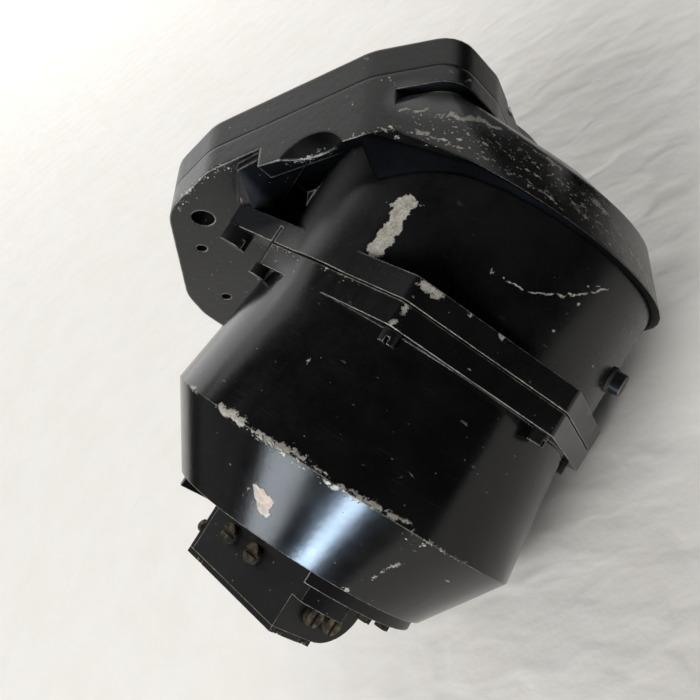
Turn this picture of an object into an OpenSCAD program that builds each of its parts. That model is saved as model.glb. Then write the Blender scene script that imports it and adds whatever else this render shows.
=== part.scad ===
// Aircraft compass with an inclined front flange, shown lying on one cheek.
// The part frame has its origin at the middle of the panel seat: -Y is out of the
// front, X runs along the flange towards its low end and Z across it, from cheek to cheek.

/* [Front flange] */
// Angle between the front's outward direction and the bowl's axis
front_tilt = 38; // [32:1:44]
// Thickness of the bezel plate
bezel_t = 7.4; // [6.4:0.1:9]
// Thickness of the hood casting's flange at its low end
lug_t = 6.2; // [5:0.1:6.6]
// Thickness of the flange where it overhangs at its upper end
brow_t = 4.5; // [3.4:0.1:5.4]
// Depth of the flat cheeks behind the bezel plate
cheek_depth = 14.9; // [13:0.1:16]
// Seat centre to the upper end of the flange
front_up = 40; // [38:0.5:44]
// Seat centre to the low end of the flange
front_down = 59.5; // [57:0.5:64]
// Half width of the upper end
upper_half = 38.5; // [36:0.5:40]
// Half width where the cheeks start
shoulder_half = 45; // [43.5:0.5:47]
// Half width where the cheeks end
cheek_half = 48; // [46.5:0.5:50]
// Rounding of the flange's upper corners
corner_r = 7; // [4:0.5:9]
// Rounding of the flange's cheeks and low end
chin_r = 14; // [8:0.5:16]
// Height of the seat above the bowl's axis point
seat_rise = 40.6; // [39.5:0.1:42]

/* [Panel mounting] */
// Spacing of the panel holes along the flange
panel_pitch_x = 62; // [58:0.5:64]
// Spacing of the panel holes across the flange
panel_pitch_z = 74; // [70:0.5:75]
// Diameter of the panel holes
panel_hole_d = 5.5; // [4:0.1:6]
// Diameter of the bezel screws' shanks
bezel_screw_d = 2.6; // [2:0.1:3]

/* [Window] */
// Window centre, from the seat centre towards the upper end
window_up = 4; // [2:0.5:6]
// Clear diameter of the window
window_d = 52; // [46:0.5:54]
// Thickness of the window glass
window_t = 3; // [2:0.1:3.4]
// Height of the raised rim round the window
window_rim = 5; // [3:0.5:8]
// Width of the raised rim
window_rim_w = 5; // [4:0.5:6]

/* [Bowl] */
// Radius of the lower bowl at its shoulder
shoulder_r = 41.1; // [40:0.1:43]
// Radius of the lower bowl under its flange
neck_r = 37.3; // [36.5:0.1:38.5]
// Radius of the flat bottom
bottom_r = 30.1; // [29.6:0.1:33]
// Depth of the shoulder below the flange seam
shoulder_depth = 33.8; // [31:0.1:36]
// Depth of the flat bottom below the flange seam
bowl_depth = 50.4; // [48:0.1:54]
// Wall of the lower bowl
bowl_wall = 3.2; // [2.6:0.1:3.6]
// Radius of the upper bowl
upper_r = 37.9; // [37.5:0.1:38.4]
// Wall of the upper bowl
upper_wall = 3; // [2:0.1:3.4]
// Height of the upper bowl above the seam
upper_h = 30.2; // [29:0.1:31]

/* [Six-cornered flange] */
// Distance from the axis to the fore and aft corners
hex_r = 42.4; // [42:0.1:44]
// Half width across the two long sides
hex_flat = 36.8; // [36.4:0.1:38]
// Distance of the long sides' front corners ahead of the axis
hex_fore = 28; // [26:0.5:29]
// How much shorter the lower long side is at the front
hex_short = 3.5; // [0:0.5:5]
// Distance of the long sides' rear corners behind the axis
hex_aft = 17.5; // [17.5:0.1:20]
// Rounding of the corners
hex_corner_r = 1.6; // [1:0.1:2]
// Thickness of each flange plate
plate_t = 4.9; // [4:0.1:5.2]
// Thickness of the flange gasket
gasket_t = 0.4; // [0.3:0.1:0.8]
// Length of the two ears, from the axis
ear_reach = 36.7; // [35.5:0.1:37]
// Diameter of the flange screws
flange_screw_d = 2.4; // [2:0.1:2.5]
// Distance of the flange screws from the axis
flange_screw_r = 39.5; // [39.4:0.1:39.8]

/* [Hood] */
// Outer radius of the domed nose at its lip
nose_r = 39.8; // [39.5:0.1:41]
// Height of the lip above the flange seam
lip_h = 29.5; // [28.4:0.1:29.8]
// Radius of the crease round the nose
crease_r = 31; // [30:0.5:33]
// Height of the crease above the flange seam
crease_h = 40.2; // [39:0.1:41.5]
// Wall of the nose
nose_wall = 2.2; // [1.6:0.1:2.6]

/* [Card and pivot] */
// Radius of the card
card_r = 30; // [26:0.5:30]
// Depth of the card's graduated skirt
card_skirt = 5; // [3:0.5:6]
// Height of the card above the flange seam
card_h = 1.6; // [0.5:0.1:2.4]
// Radius of the float
float_r = 17; // [15:0.5:20]
// Depth of the pivot's tip below the seam
pivot_depth = 12; // [11:0.5:14]
// Thickness of the bowl glass
bowl_glass_t = 2.5; // [1.5:0.1:2.8]
// Radius of the bowl glass
bowl_glass_r = 29; // [27:0.1:29.2]

/* [Corrector] */
// Radius of the corrector's round base
base_r = 28.7; // [27.6:0.1:29.4]
// Radius of the thicker pad below the base
step_r = 25; // [24:0.1:25.2]
// Thickness of the base
base_t = 2.6; // [2:0.1:3.2]
// Height of the box below the base
box_h = 11.2; // [11:0.1:12]
// Distance of the box's flat front from the axis
box_front = 12.5; // [12.4:0.1:13.5]
// Distance of the box's rounded back from the axis
box_back = 7.5; // [7.4:0.1:9]
// Rounding of the box's back
box_round = 8.4; // [8.2:0.1:8.8]
// Wall of the box
box_wall = 2.1; // [1.8:0.1:2.2]
// Thickness of the bottom cover
cover_t = 1.2; // [1:0.1:2]
// Radius of a spindle's journals
journal_r = 1.2; // [0.9:0.05:1.25]
// Running clearance of a journal in its bush
journal_gap = 0.03; // [0.02:0.01:0.06]
// Module of the cross spindles' gears
cross_module = 0.5; // [0.48:0.01:0.51]
// Module of the long spindles' gears
long_module = 0.3; // [0.28:0.01:0.31]
// Length of a cross spindle's magnet
cross_magnet_l = 8.4; // [6:0.2:8.6]
// Length of a long spindle's magnet
long_magnet_l = 5; // [4.4:0.1:5.1]

/* [Hidden] */
$fn = 72;
hull_fn = 48;
far = 200;
slip = 0.2;

enamel = [0.07, 0.07, 0.075];
brass = [0.62, 0.5, 0.3];
steel = [0.5, 0.5, 0.52];
glass = [0.75, 0.85, 0.85, 0.4];
rubber = [0.12, 0.1, 0.09];
white = [0.85, 0.84, 0.78];

// Stations of the front flange's outline, from the seat centre towards the low end
shoulder_x = -front_up + 17;
cheek_x = shoulder_x + 41.7;
jaw_x = cheek_x + 17.3;
jaw_half = cheek_half - 4.5;
chin_x = front_down - 2.5;
chin_half = 17;
seam_z = -bezel_t;
lug_z = seam_z - lug_t;
brow_z = seam_z - brow_t;
cheek_z = seam_z - cheek_depth;
cheek_front_x = shoulder_x - 5;
scoop_x = -10;
scoop_r = 18.7;
scoop_deep = 2.6;
scoop_half = cheek_half - 2.1 + scoop_r - scoop_deep;
scoop_z = cheek_z - 3.5;
lip_lean = 8.5;
cheek_end_x = 4;
nose_end_x = -4;
nose_inset = 2.6;
pocket_x = -21;
pocket_wall = 5.4;
pocket_depth = 7.5;
bowl_x = -6;

// Heights on the bowl's axis, measured from the middle of the flange gasket
upper_plate_z = gasket_t / 2;
lower_plate_z = -gasket_t / 2;
ear_top = upper_plate_z + plate_t;
plate_bottom = lower_plate_z - plate_t;
bore_r = upper_r + slip;
flange_screw_turns = [0, atan2(hex_flat, hex_aft), atan2(hex_flat, -hex_fore), 180,
    360 - atan2(hex_flat, -hex_fore + hex_short), 360 - atan2(hex_flat, hex_aft)];
roof_t = 2;
roof_top = 12.4;
seat_z = roof_top - 3.4;
ledge_t = 2;
ledge_in = bowl_glass_r - 3;
tube_in = bowl_glass_r + 0.4;
tube_out = tube_in + 2;
glass_gasket_t = 0.4;
glass_z = seat_z + glass_gasket_t;
glass_ring_z = glass_z + bowl_glass_t;
glass_ring_t = 2;
leg_start = 30.2;
leg_in = 31.5;
leg_tip_x = 11;
leg_top_x = -2;
leg_top_t = 7;
leg_rise = 7;
ear_screw_h = 33.1;
ear_screw_l = 34.5;
ear_screw_d = 3.4;
ear_head_d = 6.2;
ear_head_t = 4;
ear_grip = 4.6;
head_slot = 0.8;

// Window seat in the bezel plate, measured from the seat plane
glass_pocket_r = window_d / 2 + 2.4;
window_lip = 1.8;
window_gasket_t = 0.4;
window_glass_top = -window_lip - window_gasket_t;
window_ring_t = bezel_t - window_lip - window_gasket_t - window_t - slip;
view_r = window_d / 2 + 3;

// Filler plug on the side of the upper bowl
filler_turn = 207;
filler_h = 13;
filler_r = 1.7;
filler_head_r = 2.4;
filler_head_t = 2.4;
washer_t = 0.6;
filler_depth = 3.4;
filler_boss_r = 4;
filler_way_r = 1.2;

// Card assembly
card_t = 0.6;
float_bottom = -7;
float_neck_r = 9;
card_magnet_r = 1.2;
card_magnet_l = 30;
card_magnet_side = 8;
pivot_r = 1;
pivot_gap = 0.08;
cup_r = 1.6;
cup_t = 2;
cup_dish = 0.8;
post_r = 3;
post_root = 1.8;
lubber_r = 0.35;
lubber_side = card_r + 0.8;
capsule_r = 23;
capsule_t = 4;
capsule_wave = 1.2;
capsule_hub_r = 6;
nut_t = 3;

// Corrector: heights on the bowl's axis and places across it
base_top = -bowl_depth;
base_z = base_top - base_t;
box_z = base_z - box_h;
cover_z = box_z - cover_t;
step_z = base_z - 4;
step_side = 3;
front_room = box_front - box_wall;
back_room = -box_back + box_wall;
gear_teeth = 19;
cross_pitch = cross_module * gear_teeth;
cross_tip_r = cross_pitch / 2 + cross_module;
long_pitch = long_module * gear_teeth;
long_tip_r = long_pitch / 2 + long_module;
gear_t = 1.8;
gear_backlash = 0.24;
pressure_angle = 20;
web_t = 1.2;
gear_room = 0.5;
cross_z = base_top - gear_room - cross_tip_r;
cross_mid = 1.25;
cross_x = [cross_mid + cross_pitch / 2, cross_mid - cross_pitch / 2];
web_x = cross_x[1] - cross_tip_r - gear_room;
long_room_l = 6.2;
long_end_x = web_x - web_t - long_room_l;
box_end_x = long_end_x - 1.9;
box_open_x = 14.8;
end_plate_t = 1.2;
long_mid = 2;
long_z = box_z + 5;
long_y = [long_mid + long_pitch / 2, long_mid - long_pitch / 2];
round_wall = 1.2;
slot_back = 2;
cover_ledge = 0.3;
bush_r = 2;
spindle_head_r = 2.15;
spindle_head_t = 1.3;
collar_r = 2;
collar_l = 2.6;
corrector_magnet_r = 0.95;
base_screw_d = 1.6;
base_screw_r = 26.8;
base_screw_turns = [179, 193, 270, 345];
base_screw_depth = 2.2;
cover_screw_d = 1.4;
cover_sink = 0.7;
base_cut_x = -23.5;
base_cut_l = 37;

// Turns a frame on the front flange (x along it, y across it, z outwards) into the part frame
module on_front() {
    rotate([90, 0, 0]) children();
}

// Turns a frame on the bowl's axis (z up the axis, y across the part) into the part frame
module on_bowl() {
    on_front() translate([bowl_x, 0, -seat_rise]) rotate([0, -front_tilt, 0]) children();
}

// The bowl frame's own view of a shape that is given on the front flange
module front_on_bowl() {
    rotate([0, front_tilt, 0]) translate([-bowl_x, 0, seat_rise]) children();
}

function unit(v) = v / norm(v);

// Points of the arc that rounds corner b of the path a, b, c
function corner_arc(a, b, c, r, steps) =
    let (p = unit(a - b), q = unit(c - b), half = acos(p * q) / 2)
    let (centre = b + unit(p + q) * r / sin(half), reach = r / tan(half))
    let (first = b + p * reach - centre, last = b + q * reach - centre)
    let (turn = sign(cross(first, last)) * (180 - 2 * half))
    [for (i = [0 : steps])
        let (t = turn * i / steps)
        centre + [first.x * cos(t) - first.y * sin(t), first.x * sin(t) + first.y * cos(t)]];

// A closed path with every corner rounded, by one radius or by a list of them
function rounded(path, r, steps = 5) =
    let (n = len(path))
    [for (i = [0 : n - 1])
        each corner_arc(path[(i + n - 1) % n], path[i], path[(i + 1) % n], is_list(r) ? r[i] : r, steps)];

// One half of the front's outline, from the low end round to the upper end
front_half = [[front_down, chin_half / 2], [chin_x, chin_half], [jaw_x, jaw_half], [cheek_x, cheek_half],
    [shoulder_x, shoulder_half], [-front_up, upper_half], [-front_up, 25], [-front_up + 4.5, 9]];
front_path = concat(front_half, [for (i = [len(front_half) - 1 : -1 : 0]) [front_half[i].x, -front_half[i].y]]);
half_radii = [chin_r, chin_r, chin_r, chin_r, chin_r, corner_r, corner_r, corner_r];
front_radii = concat(half_radii, [for (i = [len(half_radii) - 1 : -1 : 0]) half_radii[i]]);

// Outline of the front flange, from one station along it to another
module front_outline(from = -far, to = far) {
    intersection() {
        polygon(rounded(front_path, front_radii));
        translate([from, -far]) square([to - from, 2 * far]);
    }
}

module slab(bottom, top) {
    translate([0, 0, bottom]) linear_extrude(top - bottom) children();
}

// The low pair of panel holes goes right through, the upper pair ends in the bezel plate
module panel_holes(sides = [-1, 1]) {
    for (x = sides, y = [-1, 1])
        translate([x * panel_pitch_x / 2, y * panel_pitch_z / 2, lug_z - 1])
            cylinder(d = panel_hole_d, h = far);
}

// Places of the bezel screws on the front flange
chin_screw = [10.5, 11];
jaw_screw = [20, 29];
cheek_screw = [3, 42.3];
shoulder_screw = [12, 41];
brow_screw = [4.5, 17];
bezel_places = [for (p = [[front_down - chin_screw.x, chin_screw.y], [front_down - jaw_screw.x, jaw_screw.y],
    [cheek_x - cheek_screw.x, cheek_screw.y], [shoulder_x + shoulder_screw.x, shoulder_screw.y],
    [-front_up + brow_screw.x, brow_screw.y]], s = [-1, 1]) [p.x, s * p.y]];

module at_bezel_screws() {
    for (p = bezel_places) translate([p.x, p.y, 0]) children();
}

// Slotted cheese head with its shank, head underside at zero and the shank upwards
module slotted_screw(shank_d, shank_l, head_d, head_t) {
    cylinder(d = shank_d, h = shank_l);
    difference() {
        translate([0, 0, -head_t]) cylinder(d = head_d, h = head_t);
        translate([-head_d, -head_slot / 2, -head_t - 1]) cube([2 * head_d, head_slot, 1 + head_t / 2]);
    }
}

// Nose of the hood: a steep skirt above the lip, a crease and a low crown
module nose_shape() {
    crown_r = crease_r - 11;
    crown_h = crease_h + 4.3;
    rotate_extrude($fn = hull_fn)
        polygon([[0, lip_h], [nose_r, lip_h], [crease_r, crease_h], [crown_r, crown_h], [0, crown_h + 3]]);
}

// Outline of the cheeks, a hair inside the flange's own outline
module cheek_outline(to) {
    hair = 0.03;
    intersection() {
        scale((cheek_half - hair) / cheek_half) polygon(rounded(front_path, front_radii));
        translate([cheek_front_x + hair, -far]) square([to - cheek_front_x, 2 * far]);
    }
}

// The nose, running into the front of the cheeks and up to the overhang
module nose() {
    intersection() {
        hull() {
            nose_shape();
            front_on_bowl() slab(cheek_z + 0.03, cheek_z + 6) cheek_outline(nose_end_x);
            front_on_bowl() slab(brow_z - 1.5, brow_z + 0.5) offset(delta = -nose_inset) front_outline(-far, cheek_front_x + 4);
        }
        front_on_bowl() translate([-far, -far, -2 * far]) cube([2 * far, 2 * far, 2 * far + brow_z + 1.5]);
    }
}

// Flat cheeks behind the flange
module cheeks() {
    front_on_bowl() slab(cheek_z, lug_z + 1) front_outline(cheek_front_x, cheek_end_x);
}

// Legs that run from the cheeks down to the ears of the upper bowl
module legs() {
    for (s = [0, 1]) mirror([0, s, 0]) {
        hull() {
            translate([leg_start, leg_in, ear_top]) cube([ear_reach - leg_start, hex_flat - leg_in, 3]);
            front_on_bowl() translate([leg_top_x, cheek_half - 1.9 - leg_top_t, lug_z - 2])
                cube([leg_tip_x - leg_top_x, leg_top_t, 4]);
        }
        translate([leg_start + 0.2, leg_in + 0.2, ear_top])
            cube([ear_reach - leg_start - 0.4, hex_flat - leg_in - 0.4, leg_rise]);
    }
}

// Shallow dish above each cheek's lip
module scoop() {
    front_on_bowl() for (s = [-1, 1]) translate([scoop_x, s * scoop_half, scoop_z]) sphere(r = scoop_r);
}

// Room under each cheek, between the bowl and the cheek's outer wall
module pockets() {
    width = cheek_half - pocket_wall - leg_in;
    front_on_bowl() for (s = [0, 1]) mirror([0, s, 0])
        translate([pocket_x, leg_in, -far]) cube([cheek_end_x + 1 - pocket_x, width, far + cheek_z + pocket_depth]);
}

// Trims the rear edge of each cheek, so that its lip rises towards the leg
module lip_trim() {
    front_on_bowl() for (s = [0, 1]) mirror([0, s, 0])
        translate([pocket_x, 0, cheek_z]) rotate([0, -lip_lean, 0])
            translate([-0.5, cheek_half - pocket_wall - 1.6, -far]) cube([far, far, far]);
}

// Outer form of the hood in the bowl's frame
module hood_form() {
    difference() {
        union() {
            nose();
            cheeks();
        }
        scoop();
        pockets();
        lip_trim();
    }
    legs();
    front_on_bowl() slab(lug_z, seam_z) front_outline(cheek_front_x, far);
    front_on_bowl() slab(brow_z, seam_z) front_outline();
}

module hood_casting() {
    inner_r = nose_r - (upper_h - lip_h) * (nose_r - crease_r) / (crease_h - lip_h) - nose_wall;
    color(enamel) on_bowl() difference() {
        hood_form();
        translate([0, 0, -far]) cylinder(r = bore_r, h = far + upper_h);
        translate([0, 0, upper_h - 0.1])
            cylinder(r1 = inner_r, r2 = crease_r - nose_wall, h = crease_h - nose_wall - upper_h);
        front_on_bowl() translate([-window_up, 0, -seat_rise]) cylinder(r = view_r, h = seat_rise);
        front_on_bowl() panel_holes([1]);
        front_on_bowl() at_bezel_screws() translate([0, 0, seam_z - 2.8]) cylinder(d = bezel_screw_d, h = far);
        front_on_bowl() for (p = bezel_places)
            if (p.x > cheek_x) translate([p.x, p.y, lug_z - 1]) cylinder(d = bezel_screw_d, h = far);
        for (s = [-1, 1])
            translate([ear_screw_h, s * ear_screw_l, ear_top - 1]) cylinder(d = ear_screw_d, h = 6);
    }
}

module bezel_plate() {
    color(enamel) on_front() difference() {
        union() {
            slab(seam_z, 0) front_outline();
            translate([-window_up, 0, -1])
                cylinder(r1 = window_d / 2 + window_rim_w, r2 = window_d / 2 + window_rim_w - 1, h = window_rim + 1);
        }
        translate([-window_up, 0, -far / 2]) cylinder(d = window_d, h = far);
        translate([-window_up, 0, -1])
            cylinder(d1 = window_d, d2 = window_d + 2 * window_rim_w - 4, h = window_rim + 1.01);
        translate([-window_up, 0, seam_z - 1]) cylinder(r = glass_pocket_r, h = bezel_t + 1 - window_lip);
        panel_holes();
        at_bezel_screws() translate([0, 0, seam_z - 1]) cylinder(d = bezel_screw_d, h = bezel_t + 2);
        at_bezel_screws() translate([0, 0, -2]) cylinder(d = 2 * bezel_screw_d, h = 3);
    }
}

module window_gasket() {
    color(rubber) on_front() translate([-window_up, 0, window_glass_top]) difference() {
        cylinder(r = glass_pocket_r, h = window_gasket_t);
        translate([0, 0, -1]) cylinder(d = window_d, h = 3);
    }
}

module window_glass() {
    color(glass) on_front() translate([-window_up, 0, window_glass_top - window_t])
        cylinder(r = glass_pocket_r - slip, h = window_t);
}

module window_ring() {
    color(brass) on_front() translate([-window_up, 0, window_glass_top - window_t - window_ring_t]) difference() {
        cylinder(r = glass_pocket_r, h = window_ring_t);
        translate([0, 0, -1]) cylinder(d = window_d, h = window_ring_t + 2);
        for (s = [-1, 1])
            translate([s * (glass_pocket_r + window_d / 2) / 2, 0, -1]) cylinder(d = 1.2, h = far);
    }
}

module bezel_screws() {
    color(steel) on_front() at_bezel_screws() translate([0, 0, -2]) mirror([0, 0, 1])
        slotted_screw(bezel_screw_d, bezel_t + 0.6, 2 * bezel_screw_d - 0.4, 1.6);
}

// Six-sided flange with a corner on the fore and aft line
module hexagon(inset = 0) {
    long = hex_flat - inset;
    polygon(rounded([[hex_r - inset, 0], [hex_aft - inset / 2, long], [-hex_fore + inset / 2, long], [-hex_r + inset, 0],
        [-hex_fore + hex_short + inset / 2, -long], [hex_aft - inset / 2, -long]], hex_corner_r));
}

// Hexagon whose aft sides run straight on into the two ears
module eared_hexagon() {
    hexagon();
    polygon(rounded([[0, -hex_flat], [ear_reach, -hex_flat], [ear_reach, hex_flat], [0, hex_flat]], 1.5));
}

module at_flange_screws() {
    for (t = flange_screw_turns) rotate(t) translate([flange_screw_r, 0, 0]) children();
}

module at_ear_screws() {
    for (s = [-1, 1]) translate([ear_screw_h, s * ear_screw_l, 0]) children();
}

module on_filler() {
    rotate(filler_turn) translate([upper_r, 0, filler_h]) rotate([0, 90, 0]) children();
}

module upper_bowl() {
    in_r = upper_r - upper_wall;
    color(enamel) on_bowl() difference() {
        union() {
            slab(upper_plate_z, ear_top) eared_hexagon();
            difference() {
                translate([0, 0, upper_plate_z]) cylinder(r = upper_r, h = upper_h - upper_plate_z);
                // The front flange cuts the wall off at a slant
                front_on_bowl() slab(seam_z - slip, far) square(2 * far, center = true);
            }
        }
        translate([0, 0, -1]) cylinder(r = ledge_in, h = far);
        translate([0, 0, -1]) cylinder(r = in_r, h = 1 + roof_top - roof_t - 3.4);
        translate([0, 0, seat_z]) cylinder(r = tube_in, h = far);
        translate([0, 0, roof_top]) difference() {
            cylinder(r = in_r, h = far);
            translate([0, 0, -1]) cylinder(r = tube_out, h = 2 + glass_ring_t);
            rotate(filler_turn) translate([in_r, 0, -1]) cylinder(r = filler_boss_r, h = 5.5);
        }
        at_flange_screws() translate([0, 0, -1]) cylinder(d = flange_screw_d, h = plate_t);
        at_ear_screws() translate([0, 0, -1]) cylinder(d = ear_screw_d, h = far / 10);
        on_filler() translate([0, 0, -filler_depth]) cylinder(r = filler_r, h = far / 10);
        rotate(filler_turn) translate([in_r - filler_way_r, 0, 0]) cylinder(r = filler_way_r, h = filler_h);
        rotate(180) translate([lubber_side, 0, 0]) cylinder(r = lubber_r, h = seat_z - ledge_t + 1);
    }
}

module filler_washer() {
    color(rubber) on_bowl() on_filler() translate([0, 0, 0]) difference() {
        cylinder(r = filler_head_r + 0.5, h = washer_t);
        translate([0, 0, -1]) cylinder(r = filler_r, h = 3);
    }
}

module filler_plug() {
    color(enamel) on_bowl() on_filler() {
        translate([0, 0, -filler_depth + 0.4]) cylinder(r = filler_r, h = filler_depth + washer_t);
        difference() {
            translate([0, 0, washer_t]) cylinder(r = filler_head_r, h = filler_head_t);
            translate([-far / 2, -head_slot / 2, washer_t + filler_head_t - 1]) cube([far, head_slot, 2]);
        }
    }
}

module glass_gasket() {
    color(rubber) on_bowl() translate([0, 0, seat_z]) difference() {
        cylinder(r = tube_in, h = glass_gasket_t);
        translate([0, 0, -1]) cylinder(r = ledge_in, h = 3);
    }
}

module bowl_glass() {
    color(glass) on_bowl() translate([0, 0, glass_z]) cylinder(r = bowl_glass_r, h = bowl_glass_t);
}

module glass_ring() {
    color(brass) on_bowl() translate([0, 0, glass_ring_z]) difference() {
        cylinder(r = tube_in, h = glass_ring_t);
        translate([0, 0, -1]) cylinder(r = ledge_in, h = glass_ring_t + 2);
        for (i = [0 : 3]) rotate(45 + 90 * i) translate([tube_in, 0, 1]) cylinder(d = 2, h = glass_ring_t);
    }
}

module lubber_line() {
    color(white) on_bowl() rotate(180) translate([lubber_side, 0, card_h - card_skirt])
        cylinder(r = lubber_r, h = seat_z - ledge_t + 1 - card_h + card_skirt);
}

module flange_gasket() {
    color(rubber) on_bowl() difference() {
        slab(lower_plate_z, upper_plate_z) hexagon(0.5);
        translate([0, 0, -1]) cylinder(r = upper_r - upper_wall, h = 2);
        at_flange_screws() translate([0, 0, -1]) cylinder(d = flange_screw_d, h = 2);
    }
}

module flange_screws() {
    color(brass) on_bowl() at_flange_screws() translate([0, 0, plate_bottom])
        slotted_screw(flange_screw_d, plate_t + gasket_t + plate_t - 1.4, 3.6, 2.6);
}

module ear_screws() {
    color(brass) on_bowl() at_ear_screws() translate([0, 0, upper_plate_z])
        slotted_screw(ear_screw_d, plate_t + ear_grip, ear_head_d, ear_head_t);
}

// Half profile of the lower bowl's outside, from the bottom up to the flange
bowl_outside = [[0, -bowl_depth], [bottom_r, -bowl_depth], [shoulder_r, -shoulder_depth], [neck_r, plate_bottom]];

module lower_bowl() {
    cone_slope = (shoulder_r - bottom_r) / (bowl_depth - shoulder_depth);
    floor_z = -bowl_depth + bowl_wall;
    floor_r = bottom_r + cone_slope * bowl_wall - 1.2 * bowl_wall;
    color(enamel) on_bowl() difference() {
        union() {
            rotate_extrude() polygon(concat(bowl_outside, [[neck_r, lower_plate_z], [0, lower_plate_z]]));
            slab(plate_bottom, lower_plate_z) hexagon();
        }
        rotate_extrude() polygon([[0, floor_z], [floor_r, floor_z], [shoulder_r - bowl_wall, -shoulder_depth + 0.6],
            [neck_r - bowl_wall, plate_bottom], [neck_r - bowl_wall, 1], [0, 1]]);
        at_flange_screws() translate([0, 0, plate_bottom - 1]) cylinder(d = flange_screw_d, h = far);
        translate([0, 0, floor_z - post_root]) cylinder(r = post_r, h = 5);
        at_base_screws() translate([0, 0, base_top - 1]) cylinder(d = base_screw_d, h = 1 + base_screw_depth);
    }
}

module expansion_capsule() {
    floor_z = -bowl_depth + bowl_wall;
    waves = 4;
    step = (capsule_r - capsule_hub_r) / (2 * waves);
    crest = [for (i = [0 : 2 * waves]) [capsule_r - step * i, capsule_t + (i % 2 == 0 ? 0 : capsule_wave)]];
    color(brass) on_bowl() translate([0, 0, floor_z]) rotate_extrude()
        polygon(concat([[post_r + slip, 0], [capsule_r, 0]], crest, [[post_r + slip, capsule_t]]));
}

module capsule_nut() {
    color(brass) on_bowl() translate([0, 0, -bowl_depth + bowl_wall + capsule_t]) difference() {
        cylinder(r = capsule_hub_r - 0.8, h = nut_t, $fn = 6);
        translate([0, 0, -1]) cylinder(r = post_r, h = nut_t + 2);
    }
}

module pivot_post() {
    floor_z = -bowl_depth + bowl_wall;
    top = -pivot_depth - cup_dish + cup_t;
    color(brass) on_bowl() difference() {
        translate([0, 0, floor_z - post_root]) cylinder(r = post_r, h = top - floor_z + post_root);
        translate([0, 0, top - cup_t - pivot_gap]) cylinder(r = cup_r, h = cup_t + 1);
    }
}

module jewel_cup() {
    color("firebrick") on_bowl() translate([0, 0, -pivot_depth - cup_dish - pivot_gap]) rotate_extrude()
        polygon([[0, 0], [cup_r, 0], [cup_r, cup_t], [cup_r - 0.3, cup_t], [0, cup_dish]]);
}

module card_pivot() {
    color(steel) on_bowl() translate([0, 0, -pivot_depth]) {
        cylinder(r1 = 0.1, r2 = pivot_r / 2, h = 2.5);
        translate([0, 0, 2.5]) cylinder(r = pivot_r / 2, h = pivot_depth + float_bottom - 2.5);
        translate([0, 0, pivot_depth + float_bottom]) cylinder(r = pivot_r, h = card_h - float_bottom - 1);
    }
}

module at_card_magnets() {
    for (s = [-1, 1])
        translate([-card_magnet_l / 2, s * card_magnet_side, float_bottom + 1.6]) rotate([0, 90, 0]) children();
}

module float() {
    color(white) on_bowl() difference() {
        rotate_extrude()
            polygon([[0, float_bottom], [float_neck_r + 4, float_bottom], [float_r, float_bottom + 3],
                [float_r, card_h - 2], [float_neck_r, card_h], [0, card_h]]);
        translate([0, 0, float_bottom - 1]) cylinder(r = pivot_r, h = card_h - float_bottom);
        at_card_magnets() cylinder(r = card_magnet_r, h = card_magnet_l);
    }
}

module compass_card() {
    rim = 0.6;
    spokes = 4;
    color(white) on_bowl() {
        difference() {
            translate([0, 0, card_h - card_skirt]) cylinder(r = card_r, h = card_skirt + card_t);
            translate([0, 0, card_h - card_skirt - 1]) cylinder(r = card_r - rim, h = card_skirt + 1);
            translate([0, 0, card_h - 1]) cylinder(r = card_r - 8, h = 3);
        }
        translate([0, 0, card_h]) difference() {
            union() {
                cylinder(r = float_neck_r + 2, h = card_t);
                for (i = [0 : spokes / 2 - 1])
                    rotate(180 * i / 2) translate([0, 0, card_t / 2]) cube([2 * card_r - 10, 4, card_t], center = true);
            }
        }
    }
}

module card_magnets() {
    color(steel) on_bowl() at_card_magnets() cylinder(r = card_magnet_r, h = card_magnet_l);
}

module at_base_screws() {
    for (t = base_screw_turns) rotate(t) translate([base_screw_r, 0, 0]) children();
}

module at_cover_screws() {
    translate([box_open_x - 4.2, box_front - box_wall / 2, 0]) children();
    for (y = [3, box_front - 2.2]) translate([(box_end_x + long_end_x) / 2, y, 0]) children();
}

module at_end_screws() {
    for (y = [box_front - box_wall / 2, -box_back + box_wall / 2])
        translate([box_open_x, y, y > 0 ? (box_z + base_z) / 2 - 0.6 : base_z - 2]) rotate([0, 90, 0]) children();
}

// Section of the corrector box: flat front, flat bottom and a rounded back
module box_section(inset_front, inset_back, inset_bottom, top = base_z) {
    front = box_front - inset_front;
    back = -box_back + inset_back;
    low = box_z + inset_bottom;
    r = box_round - max(inset_back, inset_bottom);
    centre = [back + r, low + r];
    arc = [for (i = [0 : 12]) centre + r * [cos(180 + 7.5 * i), sin(180 + 7.5 * i)]];
    polygon(concat(arc, [[front, low], [front, top], [back, top]]));
}

// Draws a section across the part and runs it along the box
module along_box(from, to) {
    translate([from, 0, 0]) rotate([90, 0, 90]) linear_extrude(to - from) children();
}

// Frames of the spindles: z along the spindle towards its slotted head
module on_cross(i) {
    on_bowl() translate([cross_x[i], 0, cross_z]) rotate([-90, 0, 0]) children();
}

module on_long(i) {
    on_bowl() translate([0, long_y[i], long_z]) rotate([0, -90, 0]) children();
}

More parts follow.
